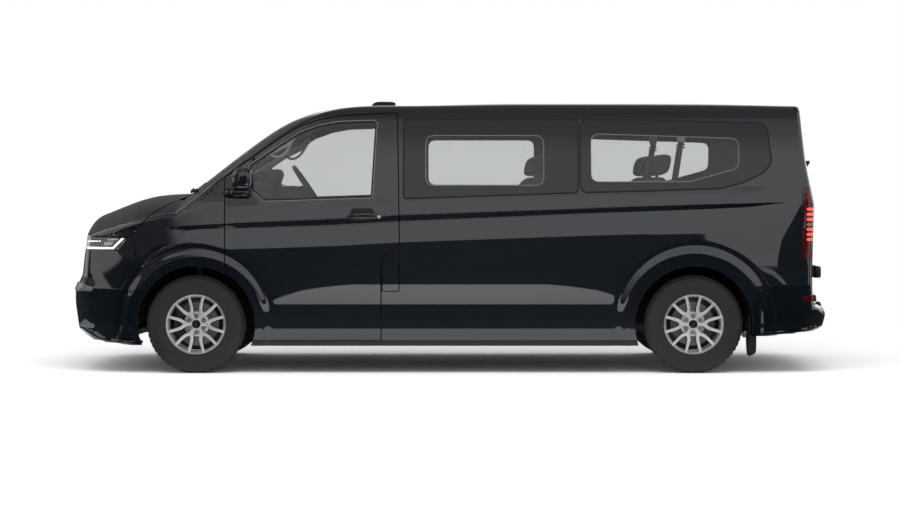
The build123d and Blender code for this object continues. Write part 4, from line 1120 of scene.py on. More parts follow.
spokes_kept = clip(net_points, net_triangles, lambda p: spoke_field(p) + SPOKE_EDGE)
spoke_points, spoke_faces, spoke_normals, _ = sheet_mesh(
    *spokes_kept, face_normal(spokes_kept[0]), FACE_DEPTH, SPOKE_EDGE)
for axle, axle_x in AXLE_X.items():
    for side, way in SIDES.items():
        body, mark = f"wheel_{axle}_{side}", f"{axle}_{side}"

        def wheel_piece(name, points, faces, material, slot, normals=None):
            spot = placed(np.asarray(points), way, axle_x)
            turned_in = [tuple(reversed([int(i) for i in f])) for f in faces] if way > 0 else faces
            if normals is not None:
                normals = np.column_stack([normals[:, 0], way * normals[:, 2], normals[:, 1]])
                if way > 0:
                    normals = normals.reshape(-1, 3, 3)[:, ::-1].reshape(-1, 3)
            return mesh_piece(f"{name}_{mark}", spot, turned_in, [material], body, slot, None, normals)

        rim = wheel_piece("rim", *turned(rim_section, segments=120), silver, "alloy")
        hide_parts(body)
        wheel_piece("spokes", spoke_points, spoke_faces, silver, "alloy", spoke_normals)
        hub_section = rounded_profile([(30, -18), (88, -18), (94, 8), (88, 28), (70, 32), (30, 34)])
        wheel_piece("hub", *turned(hub_section, segments=72), silver, "alloy")
        cap_section = [(0.5, 30), (30, 30), (31.5, 52), (31, 60), (28.5, 62.5), (26, 61), (12, 62.5), (0.5, 63)]
        wheel_piece("hub_cap", *turned(cap_section, segments=48), lamp_black, "black_plastic")
        heads = {"Count": 6, "Ring radius": 0.062, "Piece size": (0.0115, 0.0115, 0.026),
                 "Start angle": math.pi / 6, "Height": 0.046, "Material": bolt_steel}
        collars = dict(heads, **{"Piece size": (0.016, 0.016, 0.012), "Height": 0.038})
        wheel_piece("bolts", *joined([grown_mesh(bolt_tree, heads), grown_mesh(bolt_tree, collars)]), bolt_steel,
                    "steel").data.shade_flat()
        disc_section = rounded_profile([(33, -20), (155, -20), (155, -11), (150, -11), (150, -4), (155, -4), (155, 5),
                                        (84, 5), (78, 12), (33, 12)], radius=1.2)
        wheel_piece("brake_disc", *turned(disc_section), disc_steel, "cast_metal")
        shield = [(40, -44), (186, -44), (188, -36), (186, -34), (60, -34), (50, -30), (40, -30)]
        holder = f"steering_{side}" if axle == "front" else "chassis"
        points, faces = turned(shield, segments=72)
        mesh_piece(f"dust_shield_{mark}", placed(points, way, axle_x),
                   [tuple(reversed(f)) for f in faces] if way > 0 else faces, [lamp_black], holder, "underbody")
        carcass = wheel_piece("tyre_carcass", *turned(tyre_section, segments=120), tyre_rubber, "tyre")
        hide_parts(f"tyre_{mark}")
        rows = [grown_mesh(block_tree, {
            "Count": count, "Ring radius": 0.3385, "Start angle": shift, "Height": height / 1000,
            "Piece size": (0.009, 2 * math.pi * 0.338 / count * 0.84, width / 1000), "Material": tyre_rubber,
        }) for height, width, count, shift in TREAD_ROWS]
        wheel_piece("tread", *joined(rows), tyre_rubber, "tyre").data.shade_flat()

# --- Door mirrors ---
# A painted shell on a black foot at the front corner of the window, with a mirror glass facing back and a lit
# turn signal along the shell. Behind the pillar stands a fixed black corner pane.
SIDE_CORNER = [(-1806, 1176), (-1586, 1172), (-1586, 1404)]
DOOR_CORNER = [(-1570, 1172), (-1330, 1186), (-1412, 1290), (-1414, 1452), (-1570, 1392)]


def rounded_block(centre, size, power=5.0, cuts=14, shape=None):
    """A closed soft-edged block from a cube whose skin is pulled to a superellipsoid, then shaped."""
    mesh = bmesh.new()
    bmesh.ops.create_cube(mesh, size=2)
    bmesh.ops.subdivide_edges(mesh, edges=mesh.edges[:], cuts=cuts, use_grid_fill=True)
    p = np.array([v.co for v in mesh.verts])
    p = np.sin(p * math.pi / 4) / math.sin(math.pi / 4)
    p = p / (np.abs(p) ** power).sum(1, keepdims=True) ** (1 / power)
    if shape:
        p = shape(p)
    faces = [tuple(v.index for v in f.verts) for f in mesh.faces]
    mesh.free()
    return p * np.array(size) / 2 + np.array(centre), faces


corner_black = enamelled("gloss_black_pmma", "#131416")
mirror_silver = cast_metal("silvered_mirror_glass", "#dfe3e6", roughness=0.03, grain=2.0)
amber = glowing("amber_acrylic", "#a8703a", strength=0.15)
for side, way in SIDES.items():
    body = f"front_door_{side}"
    fine = side_net(way, -1850, -1560, 1140, 1440, cell=10.0)
    panel(f"corner_pane_{side}", fine, [polygon_field(SIDE_CORNER, radius=16), without(front_end_field)], 6.0,
          [corner_black], "chassis", "black_plastic", sink=-1.5)
    wing_part = polygon_field([(p[0] - 1, p[1]) for p in SIDE_CORNER], radius=16)
    panel(f"corner_pane_wing_{side}", side_net(way, -1850, -1560, 1140, 1440, cell=10.0, tilt_from=1000.0, end=-1),
          [wing_part, front_end_field], 6.0, [corner_black], "chassis", "black_plastic", sink=-1.5)
    fine = side_net(way, -1590, -1310, 1150, 1480, cell=10.0)
    panel(f"mirror_base_{side}", fine, [polygon_field(DOOR_CORNER, radius=14), door_field[side],
                                        clear_of(window_field, 4)], 7.0, [corner_black], body, "black_plastic",
          sink=-2.0)

    def head_shape(p, way=way):
        q = p.copy()
        out = way * p[:, 1]
        q[:, 0] = p[:, 0] * (1 - 0.16 * ramp(p[:, 2], 0.1, 1)) + 0.30 * ramp(p[:, 2], 0.0, 1.1) * (p[:, 0] < 0) \
            * (1 - np.abs(p[:, 0])) + 0.10 * out
        q[:, 2] = p[:, 2] * (1 - 0.14 * ramp(out, 0, 1)) - 0.06 * ramp(-p[:, 0], 0, 1) * p[:, 2]
        return q

    centre = np.array([-1452, way * 1079, 1369])
    shell = mesh_piece(f"mirror_shell_{side}", *rounded_block(centre, (132, 117, 160), power=4.2, cuts=16,
                                                              shape=head_shape), [mica_paint], body, "body_paint")
    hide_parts(f"mirror_{side}")
    mesh_piece(f"mirror_bezel_{side}", *rounded_block(centre + (60, way * 2, -1), (12, 100, 130), cuts=10),
               [grille_black], body, "black_plastic")
    mesh_piece(f"mirror_glass_{side}", *rounded_block(centre + (65, way * 2, -1), (5, 88, 116), power=6.0, cuts=8),
               [mirror_silver], body, "glass")

    def foot_shape(p, way=way):
        q = p.copy()
        inner = ramp(-way * p[:, 1], -0.6, 1)
        q[:, 0] = p[:, 0] * (0.72 + 0.28 * inner) - 0.35 * inner + 0.1
        q[:, 2] = p[:, 2] * (0.8 + 0.2 * inner) - 0.10 * inner
        return q

    mesh_piece(f"mirror_foot_{side}", *rounded_block((-1478, way * 1027, 1268), (200, 128, 76), power=3.4,
                                                     shape=foot_shape), [corner_black], body, "black_plastic")
    mesh_piece(f"mirror_signal_{side}", *rounded_block((-1519, way * 1098, 1384), (6, 70, 12), power=4.0, cuts=6),
               [amber], body, "lamp_lens")

# --- Door handles ---
# A pull bar moulded in glass-filled nylon and painted bridges a shallow cup, and is pinned behind
# the skin at both ends. The cup is not pressed into the skin: a thin dark sheet laid on it, in the dark rubber
# finish on the front doors and the gloss black one on the sliding door, stands for the recess, and its darkness
# is painted shade. A plated lock cap sits at its rear end.
BAR_X, BAR_HALF = -599, 129
SLIDE_PULL_X, SLIDE_PULL_Z = (-250, -60), 1122


def bar_shape(p):
    """Thins the bar towards its ends and lets them droop."""
    q = p.copy()
    q[:, 2] = p[:, 2] * (1 - 0.35 * p[:, 0] ** 2) - 0.25 * (p[:, 0] ** 2)
    return q


for side, way in SIDES.items():
    body = f"front_door_{side}"
    # The dark sheet over the cup is painted shade of its recess, not a rubber coat.
    cup = polygon_field([(-694, 1161), (-536, 1161), (-524, 1074), (-706, 1074)], radius=24)
    panel(f"handle_cup_painted_shade_{side}", side_net(way, -760, -480, 1070, 1180, cell=7.0), [cup], 3.0, [seal_rubber], body,
          "black_plastic", sink=-0.6, fold=1.2)

    points, faces = rounded_block((BAR_X, way * 1029, 1108), (2 * BAR_HALF, 22, 46), power=3.0, cuts=16,
                                  shape=bar_shape)
    points[:, 1] -= way * 9 * np.abs((points[:, 0] - BAR_X) / BAR_HALF) ** 2.5
    pull = mesh_piece(f"door_pull_{side}", points, faces, [mica_paint], body, "body_paint")
    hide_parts(f"door_handle_{side}")
    mesh_piece(f"lock_cap_{side}", *rounded_block((-496, way * 1030, 1101), (24, 18, 24), power=2.4, cuts=8),
               [chrome_plastic], body, "steel")
(x_low, x_high), z = SLIDE_PULL_X, SLIDE_PULL_Z
mesh_piece("sliding_door_pull", *rounded_block(((x_low + x_high) / 2, 1019, z), (x_high - x_low, 19, 34), power=3.0),
           [mica_paint], "chassis", "body_paint")
# The gloss black sheet over this cup is painted shade of its recess.
cup = polygon_field(rectangle(x_low - 18, z + 30, x_high + 18, z - 30), radius=26)
panel("sliding_handle_cup", side_net(1, x_low - 60, x_high + 60, 1060, 1190, cell=7.0), [cup], 3.0, [corner_black],
      "chassis", "black_plastic", sink=-0.6, fold=1.2)

# --- Cowl and wipers ---
# The gap between bonnet and windscreen is closed by a black polypropylene cowl, clipped under the glass. Two
# rubber wiper blades park over it on black painted steel arms.
WIPER_REACH = {"left": 620, "right": 560}
cowl_field = both(ring_field(BONNET_REAR_X + 6, SCREEN_LOW_X - 2), without(outboard(800)))
cowl_net = canopy(240, 760, 900, cell=14.0)
piece = panel("cowl", cowl_net, [cowl_field], 8.0, [grille_black], "chassis", "black_plastic", sink=5.0)
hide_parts("scuttle")
wiper_net = canopy(300, 620, 860, cell=9.0)
for side, reach in WIPER_REACH.items():
    way = SIDES[side]
    line = [(-1800, way * 700), (-1872, way * (700 - reach * 0.5)), (-1886, way * (700 - reach))]
    blade = polyline_field(line, 8, TOP_VIEW)
    panel(f"wiper_blade_{side}", wiper_net, [blade], 14.0, [seal_rubber], "chassis", "rubber", sink=-14.0)
    arm = polyline_field([(-1898, way * 130), (-1850, way * (700 - reach * 0.45))], 6, TOP_VIEW)
    panel(f"wiper_arm_{side}", wiper_net, [arm], 10.0, [grille_black], "chassis", "black_plastic", sink=-22.0)

# --- Roof aerial, sills and seams ---
# A low moulded cap stands over the aerial on the roof, screwed through from inside. Grained strips close the
# sills, and rubber flanges line the door openings behind the skins.


def cap_shape(p):
    """Leans the cap's front back and narrows it towards its top."""
    return np.column_stack([p[:, 0] + 0.22 * (p[:, 2] + 1) * (p[:, 0] < 0) * -p[:, 0] * 0.9,
                            p[:, 1] * (1 - 0.25 * (p[:, 2] > 0) * p[:, 2]), p[:, 2]])


aerial = mesh_piece("roof_aerial", *rounded_block((-498, 0, 1921), (190, 70, 37), power=3.4,
                                                  shape=cap_shape), [grille_black], "chassis", "black_plastic")
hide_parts("roof_antenna")
for side, way in SIDES.items():
    net = side_net(way, -1420, 1380, 180, 260, cell=14.0)
    sill = both(beyond(2, 200), beyond(2, 233, -1), beyond(0, -1384), beyond(0, 1316, -1))
    panel(f"sill_strip_{side}", net, [sill, without(arch_field(ARCH_R + 2, "front")),
                                      without(arch_field(ARCH_R + 2, "rear"))], 4.0, [grille_black], "chassis",
          "black_plastic", sink=-3.0)
    flange = both(grown(door_field[side], 12), clear_of(door_field[side], -36),
                  without(arch_field(ARCH_R + 8, "front")))
    panel(f"door_aperture_{side}", side_net(way, -1660, -280, 200, 2060, cell=20.0), [flange], 8.0, [seal_rubber],
          "chassis", "rubber", sink=52.0)
flange = both(grown(sliding_door_field, 12), clear_of(sliding_door_field, -36))
panel("sliding_door_aperture", side_net(1, -420, 980, 200, 2000, cell=20.0), [flange], 8.0, [seal_rubber], "chassis",
      "rubber", sink=50.0)

# --- Seats ---
# Foam pads under stretched flat-woven cloth on steel frames: a cushion, a back with side bolsters and a head
# restraint on two posts. One of each pad is swollen as cloth, and every seat takes the same covers. The pads'
# voxels are 18 mm, which keeps eight seats within the triangles that the whole vehicle may have.
SEAT_PLACES = {
    "front": [(-540, -440), (-540, 440)],
    "middle": [(498, -560), (498, 0), (498, 560)],
    "rear": [(1336, -560), (1336, 0), (1336, 560)],
}


WAVE_TURN = 6.283  # divides the count of threads in a metre, which gives the Wave texture's scale


def woven(name, base, thread_mm):
    """Flat-woven seat cloth: crossed threads that catch the light by turns and a soft sheen at glancing angles."""
    material, tree, shader, place = new_finish(name)
    threads = [add_node(tree, "ShaderNodeTexWave", {"wave_type": "BANDS", "bands_direction": way},
                        {"Scale": 1000 / thread_mm / WAVE_TURN, "Distortion": 0.6}, Vector=place).outputs["Fac"]
               for way in ("Y", "Z")]
    weave = add_node(tree, "ShaderNodeMath", {"operation": "MULTIPLY"}, None, i0=threads[0], i1=threads[1])
    cloud = add_node(tree, "ShaderNodeTexNoise", None, {"Scale": 14.0, "Detail": 5.0}, Vector=place)
    mottle = add_node(tree, "ShaderNodeMath", {"operation": "ADD"}, None, i0=weave.outputs[0], i1=cloud.outputs["Fac"])
    tone = add_node(tree, "ShaderNodeMapRange", None, {2: 2.0, 3: 0.7, 4: 1.35}, Value=mottle.outputs[0])
    coloured(tree, shader, base, tone)
    bump = add_node(tree, "ShaderNodeBump", None, {"Strength": 0.5, "Distance": 0.0008}, Height=weave.outputs[0])
    tree.links.new(bump.outputs["Normal"], shader.inputs["Normal"])
    set_sockets(shader, {"Roughness": 0.92, "Sheen Weight": 0.35, "Sheen Roughness": 0.4})
    return material


CUSHION_Z, BACK_Z, RESTRAINT_Z = 916, 1140, 1464
CUSHION_AHEAD, BACK_BEHIND, RESTRAINT_BEHIND = 275, 71, 160
LEAN, TILT = 0.306, 0.2
VOXEL = 0.018
PRESSURE = 4.0
LAST_FRAME = 20


def bolstered(front_only):
    """Shapes a pad with raised side bolsters, on its front or on its top."""
    def shape(p):
        q = p.copy()
        facing = ramp(-p[:, 0], 0, 1) if front_only else ramp(p[:, 2], 0, 1)
        wing = ramp(np.abs(p[:, 1]), 0.45, 0.95) * (1 - ramp(np.abs(p[:, 1]), 0.93, 1.0))
        axis = 0 if front_only else 2
        q[:, axis] += (-1 if front_only else 1) * 0.30 * facing * wing
        return q
    return shape


def swollen(name, points, faces, cap):
    """The pad blown up as cloth under slight pressure, with how far a point may move capped, in millimetres."""
    mesh = bpy.data.meshes.new(name)
    mesh.from_pydata((points / 1000).tolist(), [], faces)
    pad = bpy.data.objects.new(name, mesh)
    bpy.context.scene.collection.objects.link(pad)
    bpy.context.view_layer.objects.active = pad
    remesh = pad.modifiers.new("remesh", "REMESH")
    remesh.mode, remesh.voxel_size = "VOXEL", VOXEL
    plain = bpy.data.meshes.new_from_object(pad.evaluated_get(bpy.context.evaluated_depsgraph_get()))
    pad.modifiers.clear()
    pad.data = plain
    start = np.empty(len(plain.vertices) * 3)
    plain.vertices.foreach_get("co", start)
    start = start.reshape(-1, 3)
    end = start
    cloth = pad.modifiers.new("cloth", "CLOTH")
    cloth.settings.use_pressure = True
    cloth.settings.uniform_pressure_force = PRESSURE
    cloth.settings.effector_weights.gravity = 0.0
    for frame_number in range(1, LAST_FRAME + 1):
        bpy.context.scene.frame_set(frame_number)
    blown = bpy.data.meshes.new_from_object(pad.evaluated_get(bpy.context.evaluated_depsgraph_get()))
    end = np.empty(len(blown.vertices) * 3)
    blown.vertices.foreach_get("co", end)
    end = end.reshape(-1, 3)
    pad.modifiers.clear()
    bpy.context.scene.frame_set(1)
    move = end - start
    length = np.linalg.norm(move, axis=1, keepdims=True)
    move = move * np.minimum(1, cap / 1000 / np.maximum(length, 1e-9))
    polygons = [tuple(f.vertices) for f in plain.polygons]
    bpy.data.objects.remove(pad)
    return (start + move) * 1000, polygons


def stitched(points, faces, lines, depth, half_width):
    """Draws the cover in along seams; each line is (axis, place) in the pad's own millimetres."""
    mesh = bpy.data.meshes.new("cover")
    mesh.from_pydata((points / 1000).tolist(), [], faces)
    work = bmesh.new()
    work.from_mesh(mesh)
    bmesh.ops.subdivide_edges(work, edges=work.edges[:], cuts=1, use_grid_fill=True, smooth=0.6)
    bmesh.ops.smooth_vert(work, verts=work.verts[:], factor=0.5)
    work.normal_update()
    p = np.array([v.co for v in work.verts]) * 1000
    normal = np.array([v.normal for v in work.verts])
    for axis, place in lines:
        p = p - normal * (depth * np.exp(-((p[:, axis] - place) / half_width) ** 2))[:, None]
    polygons = [tuple(v.index for v in f.verts) for f in work.faces]
    work.free()
    return p, polygons


seat_cloth = woven("flat_woven_seat_cloth", "#34373b", thread_mm=3.2)
headliner_cloth = woven("needled_roof_lining", "#8d908f", thread_mm=4.0)
cushion = rounded_block((0, 0, 0), (452, 462, 92), power=5.5, shape=bolstered(False))
cushion = stitched(*swollen("cushion_form", *cushion, cap=12), [(1, -128), (1, 128), (0, -150)], depth=7, half_width=7)
backrest = rounded_block((0, 0, 0), (164, 456, 500), shape=bolstered(True))
backrest = stitched(*swollen("back_form", *backrest, cap=12), [(1, -120), (1, 120), (2, 60)], depth=7, half_width=7)
restraint = rounded_block((0, 0, 0), (164, 262, 140), power=4.6, cuts=12)
restraint = stitched(*swollen("restraint_form", *restraint, cap=8), [(1, -70), (1, 70)], depth=4, half_width=7)
for row, places in SEAT_PLACES.items():
    for number, (x, y) in enumerate(places):
        tag = f"{row}_{number + 1}"
        p = cushion[0] + (x - CUSHION_AHEAD, y, CUSHION_Z)
        pad = mesh_piece(f"seat_cushion_{tag}", p, cushion[1], [seat_cloth], "chassis", "seat_cloth")
        if number == 0:
            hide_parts(f"{row}_seats")
        lean = backrest[0] + (x, y, BACK_Z)
        lean[:, 0] += BACK_BEHIND + (lean[:, 2] - BACK_Z) * LEAN
        pad = mesh_piece(f"seat_back_{tag}", lean, backrest[1], [seat_cloth], "chassis", "seat_cloth")
        tilt = restraint[0] + (x + RESTRAINT_BEHIND, y, RESTRAINT_Z)
        tilt[:, 0] += (tilt[:, 2] - RESTRAINT_Z) * TILT
        tilt[:, 2] += (tilt[:, 0] - x - RESTRAINT_BEHIND) * TILT / 2
        pad = mesh_piece(f"head_restraint_{tag}", tilt, restraint[1], [seat_cloth], "chassis", "seat_cloth")
        parts = [rounded_block((x - 290, y, 702), (258, 378, 316), power=7.0, cuts=8)]
        parts += [rounded_block((x + 150, y + way * 62, 1400), (11, 11, 70), power=3.0, cuts=4) for way in (-1, 1)]
        parts += [rounded_block((x + 10, y + way * 236, 930), (110, 20, 110), power=2.6, cuts=8) for way in (-1, 1)]
        mesh_piece(f"seat_frame_{tag}", *joined(parts), [grille_black], "chassis", "trim_plastic")

# --- Seat belts ---
# Webbing of woven polyester hangs from pale moulded brackets that are screwed to the wall, and runs through a
# black slip ring down beside the outer rear seats.
BELT_X = {"left": 1638, "right": 1577}
webbing = woven("belt_webbing", "#2a2c2e", thread_mm=2.4)
bracket_grey = moulded("grey_bracket_plastic", "#b4baba", roughness=0.5, depth=0.0001)
for side, way in SIDES.items():
    x, y = BELT_X[side], way * 768
    parts = []
    for (x0, z0), (x1, z1), width in (((x, 1692), (x, 1600), 42), ((x - 6, 1600), (x - 46, 1340), 46)):
        span = math.hypot(x1 - x0, z1 - z0)
        points, faces = rounded_block((0, 0, 0), (width, 3, span), power=8.0, cuts=6)
        along_strap = points[:, 2:3] / span
        middle = np.array([(x0 + x1) / 2, y, (z0 + z1) / 2])
        parts.append((points * (1, 1, 0) + middle + along_strap * (x1 - x0, 0, z1 - z0), faces))
    mesh_piece(f"belt_{side}", *joined(parts), [webbing], "chassis", "seat_cloth")
    guide = [rounded_block((x - 3, y, z), (66, 12, 15), power=2.6, cuts=8) for z in (1588, 1606)]
    mesh_piece(f"belt_guide_{side}", *joined(guide), [grille_black], "chassis", "black_plastic")
    mesh_piece(f"belt_bracket_{side}", *rounded_block((x, y + way * 4, 1666), (58, 14, 74), cuts=8),
               [bracket_grey], "chassis", "trim_plastic")

# --- Dashboard and steering wheel ---
# A soft-grained moulding runs from door to door, with a hood over the instruments and a blank glossy screen. The
# wheel's steel ring is foamed over and sewn in leather, on a moulded hub.
trim_grey = moulded("grained_soft_trim", "#3b3d3f", roughness=0.62, depth=0.0002)


def hose_faces(count, n):
    """The skin over a number of rings of n points, closed at both ends."""
    faces = [(i * n + j, i * n + (j + 1) % n, (i + 1) * n + (j + 1) % n, (i + 1) * n + j)
             for i in range(count - 1) for j in range(n)]
    return faces + [tuple(reversed(range(n))), tuple(range((count - 1) * n, count * n))]


def swept_across(section, y_low, y_high, pull):
    """A closed section (x, z) drawn across the vehicle, its ends eased in."""
    rows = np.array(rounded_profile(section, radius=26, cuts=5))
    middle = rows.mean(0)
    stations = np.concatenate([[0, 0.006, 0.02, 0.05], np.linspace(0.1, 0.9, 17), [0.95, 0.98, 0.994, 1]])
    points, n = [], len(rows)
    for t in stations:
        edge = min(t, 1 - t)
        shrink = 1 - pull * (1 - min(edge / 0.05, 1)) ** 2 - (1 if edge == 0 else 0) * 0.04
        spot = middle + (rows - middle) * shrink
        points.append(np.column_stack([spot[:, 0], np.full(n, y_low + (y_high - y_low) * t), spot[:, 1]]))
    return np.concatenate(points), hose_faces(len(stations), n)


lower = swept_across([(-1698, 902), (-1698, 1118), (-1560, 1163), (-1262, 1168), (-1312, 1080), (-1372, 930),
                      (-1500, 852)], -855, 855, pull=0.08)
dash = mesh_piece("dash_body", *lower, [trim_grey], "chassis", "trim_plastic")
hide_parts("dashboard")
upper = swept_across([(-1558, 1155), (-1558, 1288), (-1400, 1343), (-1272, 1328), (-1242, 1155)], -775, 775, pull=0.10)
mesh_piece("dash_top", *upper, [trim_grey], "chassis", "trim_plastic")
hood = swept_across([(-1418, 1302), (-1340, 1423), (-1232, 1438), (-1208, 1402), (-1242, 1302)], -605, -275, pull=0.18)
mesh_piece("instrument_hood", *hood, [trim_grey], "chassis", "trim_plastic")
mesh_piece("column_shroud", *rounded_block((-1168, -440, 1232), (210, 176, 168), power=4.0, cuts=10), [trim_grey],
           "chassis", "trim_plastic")
mesh_piece("dash_console", *rounded_block((-1440, 0, 785), (158, 296, 486), power=7.0, cuts=8), [grille_black],
           "chassis", "trim_plastic")
mesh_piece("dash_screen", *rounded_block((-1244, 0, 1268), (14, 262, 128), power=8.0, cuts=8), [corner_black],
           "chassis", "black_plastic")
vents = [rounded_block((-1243, y, 1268 + dz), (12, 120, 5), power=3.0, cuts=4)
         for y in (-700, -200, 200, 700) for dz in (-20, 0, 20)]
vents += [rounded_block((-1247, y, 1268), (6, 132, 66), power=7.0, cuts=6) for y in (-700, -200, 200, 700)]
mesh_piece("dash_vents", *joined(vents), [grille_black], "chassis", "trim_plastic")

hide = moulded("split_grain_leather", "#1d1e20", roughness=0.5, grain=700.0, depth=0.0002)
WHEEL_AT, WHEEL_AXIS = np.array([-1042, -440, 1303]), np.array([0.826, 0, 0.563])
across_axis, up_axis = np.array([0, 1.0, 0]), np.array([-0.563, 0, 0.826])


def on_wheel(parts):
    """Joins parts made about the steering axis and sets them on it."""
    points, faces = joined(parts)
    points = WHEEL_AT + points[:, :1] * across_axis + points[:, 1:2] * up_axis + points[:, 2:] * WHEEL_AXIS
    return points, [tuple(reversed(f)) for f in faces]


ring_section = [(173.5 + 11.5 * math.cos(a), 12 + 13 * math.sin(a)) for a in np.arange(14) * 2 * math.pi / 14]
ring = mesh_piece("steering_ring", *on_wheel([turned(ring_section, segments=72)]), [hide], "chassis", "trim_plastic")
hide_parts("steering_wheel")
spoke_parts = [rounded_block((way * 108, 4, 8), (130, 34, 18), power=4.0, cuts=8) for way in (-1, 1)]
spoke_parts += [rounded_block((0, -105, 8), (36, 120, 18), power=4.0, cuts=8),
                rounded_block((0, 0, 14), (150, 118, 38), power=3.4, cuts=12)]
mesh_piece("steering_hub", *on_wheel(spoke_parts), [trim_grey], "chassis", "trim_plastic")
mesh_piece("steering_column", *on_wheel([rounded_block((0, -34, -120), (118, 146, 236), cuts=8)]),
           [grille_black], "chassis", "trim_plastic")

# --- Lining, pillar covers and grab handles ---
# A pressed felt lining under the roof, pale grained covers on the front pillars, and a moulded pull on each.
# The covers and pulls are paler than the trim itself: part of their colour is painted light for the dim cabin.
# Pale grey trim lightened beyond its own colour: partly its own pale grey, partly painted light making up for the dim
# cabin.
pale_trim_painted_light = moulded("pale_grained_trim_painted_light", "#cfd4d1", roughness=0.62, depth=0.00015)
panel("roof_lining", canopy(1330, 4600, 700, cell=40.0, base_z=1400.0), [grown(roof_field, -90)], 8.0,
      [headliner_cloth], "chassis", "seat_cloth", sink=62.0)
PILLAR_COVER = [(-1690, 1330), (-1560, 1470), (-1246, 1672), (-1095, 1716), (-1085, 1672), (-1141, 1610),
                (-1347, 1505), (-1574, 1375), (-1640, 1310)]


def tube(points, radius):
    """A closed tube of constant thickness along smoothed points."""
    turns = 10
    p = np.array(points, float)
    for _ in range(3):
        p = np.concatenate([p[:1], np.stack([p[:-1] * 0.75 + p[1:] * 0.25, p[:-1] * 0.25 + p[1:] * 0.75], 1)
                            .reshape(-1, 3), p[-1:]])
    ahead = np.gradient(p, axis=0)
    ahead /= np.linalg.norm(ahead, axis=1, keepdims=True)
    out = np.cross(ahead, (0, 1.0, 0))
    out /= np.linalg.norm(out, axis=1, keepdims=True)
    side_way = np.cross(ahead, out)
    a = np.arange(turns) * 2 * math.pi / turns
    arm = np.cos(a)[None, :, None] * out[:, None] + np.sin(a)[None, :, None] * side_way[:, None]
    return (p[:, None] + radius * arm).reshape(-1, 3), hose_faces(len(p), turns)


for side, way in SIDES.items():
    panel(f"pillar_cover_{side}", side_net(way, -1800, -1050, 1240, 1760, cell=16.0),
          [polygon_field(PILLAR_COVER, radius=14)], 8.0, [pale_trim_painted_light], "chassis", "trim_plastic", sink=66.0)
    grip = [(-1290, way * 850, 1555), (-1262, way * 800, 1530), (-1215, way * 790, 1518), (-1165, way * 790, 1550),
            (-1135, way * 800, 1595), (-1118, way * 845, 1632)]
    mesh_piece(f"grab_handle_{side}", *tube(grip, radius=10), [pale_trim_painted_light], "chassis", "trim_plastic")
    body = f"front_door_{side}"
    card = both(grown(door_field[side], -58), beyond(2, 1166, -1))
    panel(f"door_card_{side}", side_net(way, -1600, -330, 200, 1200, cell=24.0),
          [card, without(arch_field(ARCH_R + 58, "front"))], 10.0, [trim_grey], body, "trim_plastic", sink=62.0)
    rest = rounded_block((-860, way * 918, 905), (460, 50, 62), power=4.0, cuts=10)
    mesh_piece(f"door_armrest_{side}", *rest, [grille_black], body, "trim_plastic")

# --- Bumper inserts, mud flaps and rear fittings ---
# Black slots and lips in satin paint are clipped into the front corners. Rubber flaps are screwed behind the rear
# wheels, a black cover sits low on the tailgate, and the tow ball is coated black.
satin_silver = cast_metal("satin_paint_on_abs", "#8b9299", roughness=0.34, metallic=0.6, grain=40.0)
CORNER_SLOT = [(-2616, 674), (-2521, 662), (-2505, 644), (-2507, 607), (-2632, 639)]
CORNER_LIP = [(-2640, 632), (-2512, 598), (-2535, 572), (-2690, 572), (-2660, 628)]
LOW_INSERT = [(-2640, 338), (-2592, 372), (-2562, 349), (-2512, 334), (-2522, 310), (-2670, 314)]
for side, way in SIDES.items():
    low, high = sorted((way * 560, way * 1330))
    for label, outline, finish, raised in (
            ("slot", CORNER_SLOT, grille_black, 1.0), ("lip", CORNER_LIP, satin_silver, 9.0),
            ("insert", LOW_INSERT, satin_silver, 4.0)):
        zone = both(polygon_field(outline, radius=9), outboard(600))
        panel(f"front_corner_{label}_{side}", girdle(-1, low, high, 290, 700, cell=8.0), [zone], 3.0 + raised, [finish],
              "chassis", "body_paint", sink=-raised, fold=1.0)

    def flap_shape(p):
        q = p.copy()
        low_end = ramp(-p[:, 2], 0.3, 1.0)
        q[:, 0] = p[:, 0] * (1 - 0.12 * low_end) + 0.12 * p[:, 2] ** 2
        q[:, 2] = p[:, 2] + 0.10 * low_end * p[:, 0]
        return q

    flap = mesh_piece(f"mud_flap_{side}", *rounded_block((2132, way * 838, 268), (58, 170, 290), power=9.0,
                                                         shape=flap_shape), [seal_rubber], "chassis", "rubber")
    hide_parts("mud_flaps")
parts = [rounded_block((2724, 0, 676), (52, 190, 88), power=6.0, cuts=10),
         rounded_block((2678, 0, 716), (84, 150, 20), power=6.0, cuts=8)]
mesh_piece("tailgate_grip_cover", *joined(parts), [grille_black], "tailgate", "black_plastic")
mesh_piece("tow_ball", *rounded_block((2738, 0, 430), (50, 50, 50), power=2.0, cuts=12), [seal_rubber], "chassis",
           "steel")

# --- Running gear and floor ---
# Pressed and cast parts under the body keep their plain shapes: coated steel, grey iron, and moulded liners.
under_black = moulded("stone_chip_coating", "#1a1a1b", roughness=0.85, grain=180.0, depth=0.0006)
liner_felt = moulded("needled_wheel_liner", "#0f0f10", roughness=0.95, grain=700.0, depth=0.0005)
iron = cast_metal("painted_cast_iron", "#2b2b2c", roughness=0.6, metallic=0.3, grain=60.0)
exhaust_steel = cast_metal("heat_tinted_steel", "#8a8078", roughness=0.38, grain=30.0)
floor_mat = moulded("ribbed_rubber_floor", "#232425", roughness=0.8, grain=300.0, depth=0.0006)
FINISHES = {
    "wheel_housings": liner_felt, "floor_pan": floor_mat, "bulkhead": under_black, "front_suspension": iron,
    "rear_axle": iron, "engine_block": iron, "fuel_tank": under_black, "exhaust": exhaust_steel,
    "knuckle_left": iron, "knuckle_right": iron, "tow_bar": under_black,
    "rear_wiper": grille_black,
}
for node, finish in FINISHES.items():
    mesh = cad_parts[node].data
    mesh.materials.clear()
    mesh.materials.append(finish)

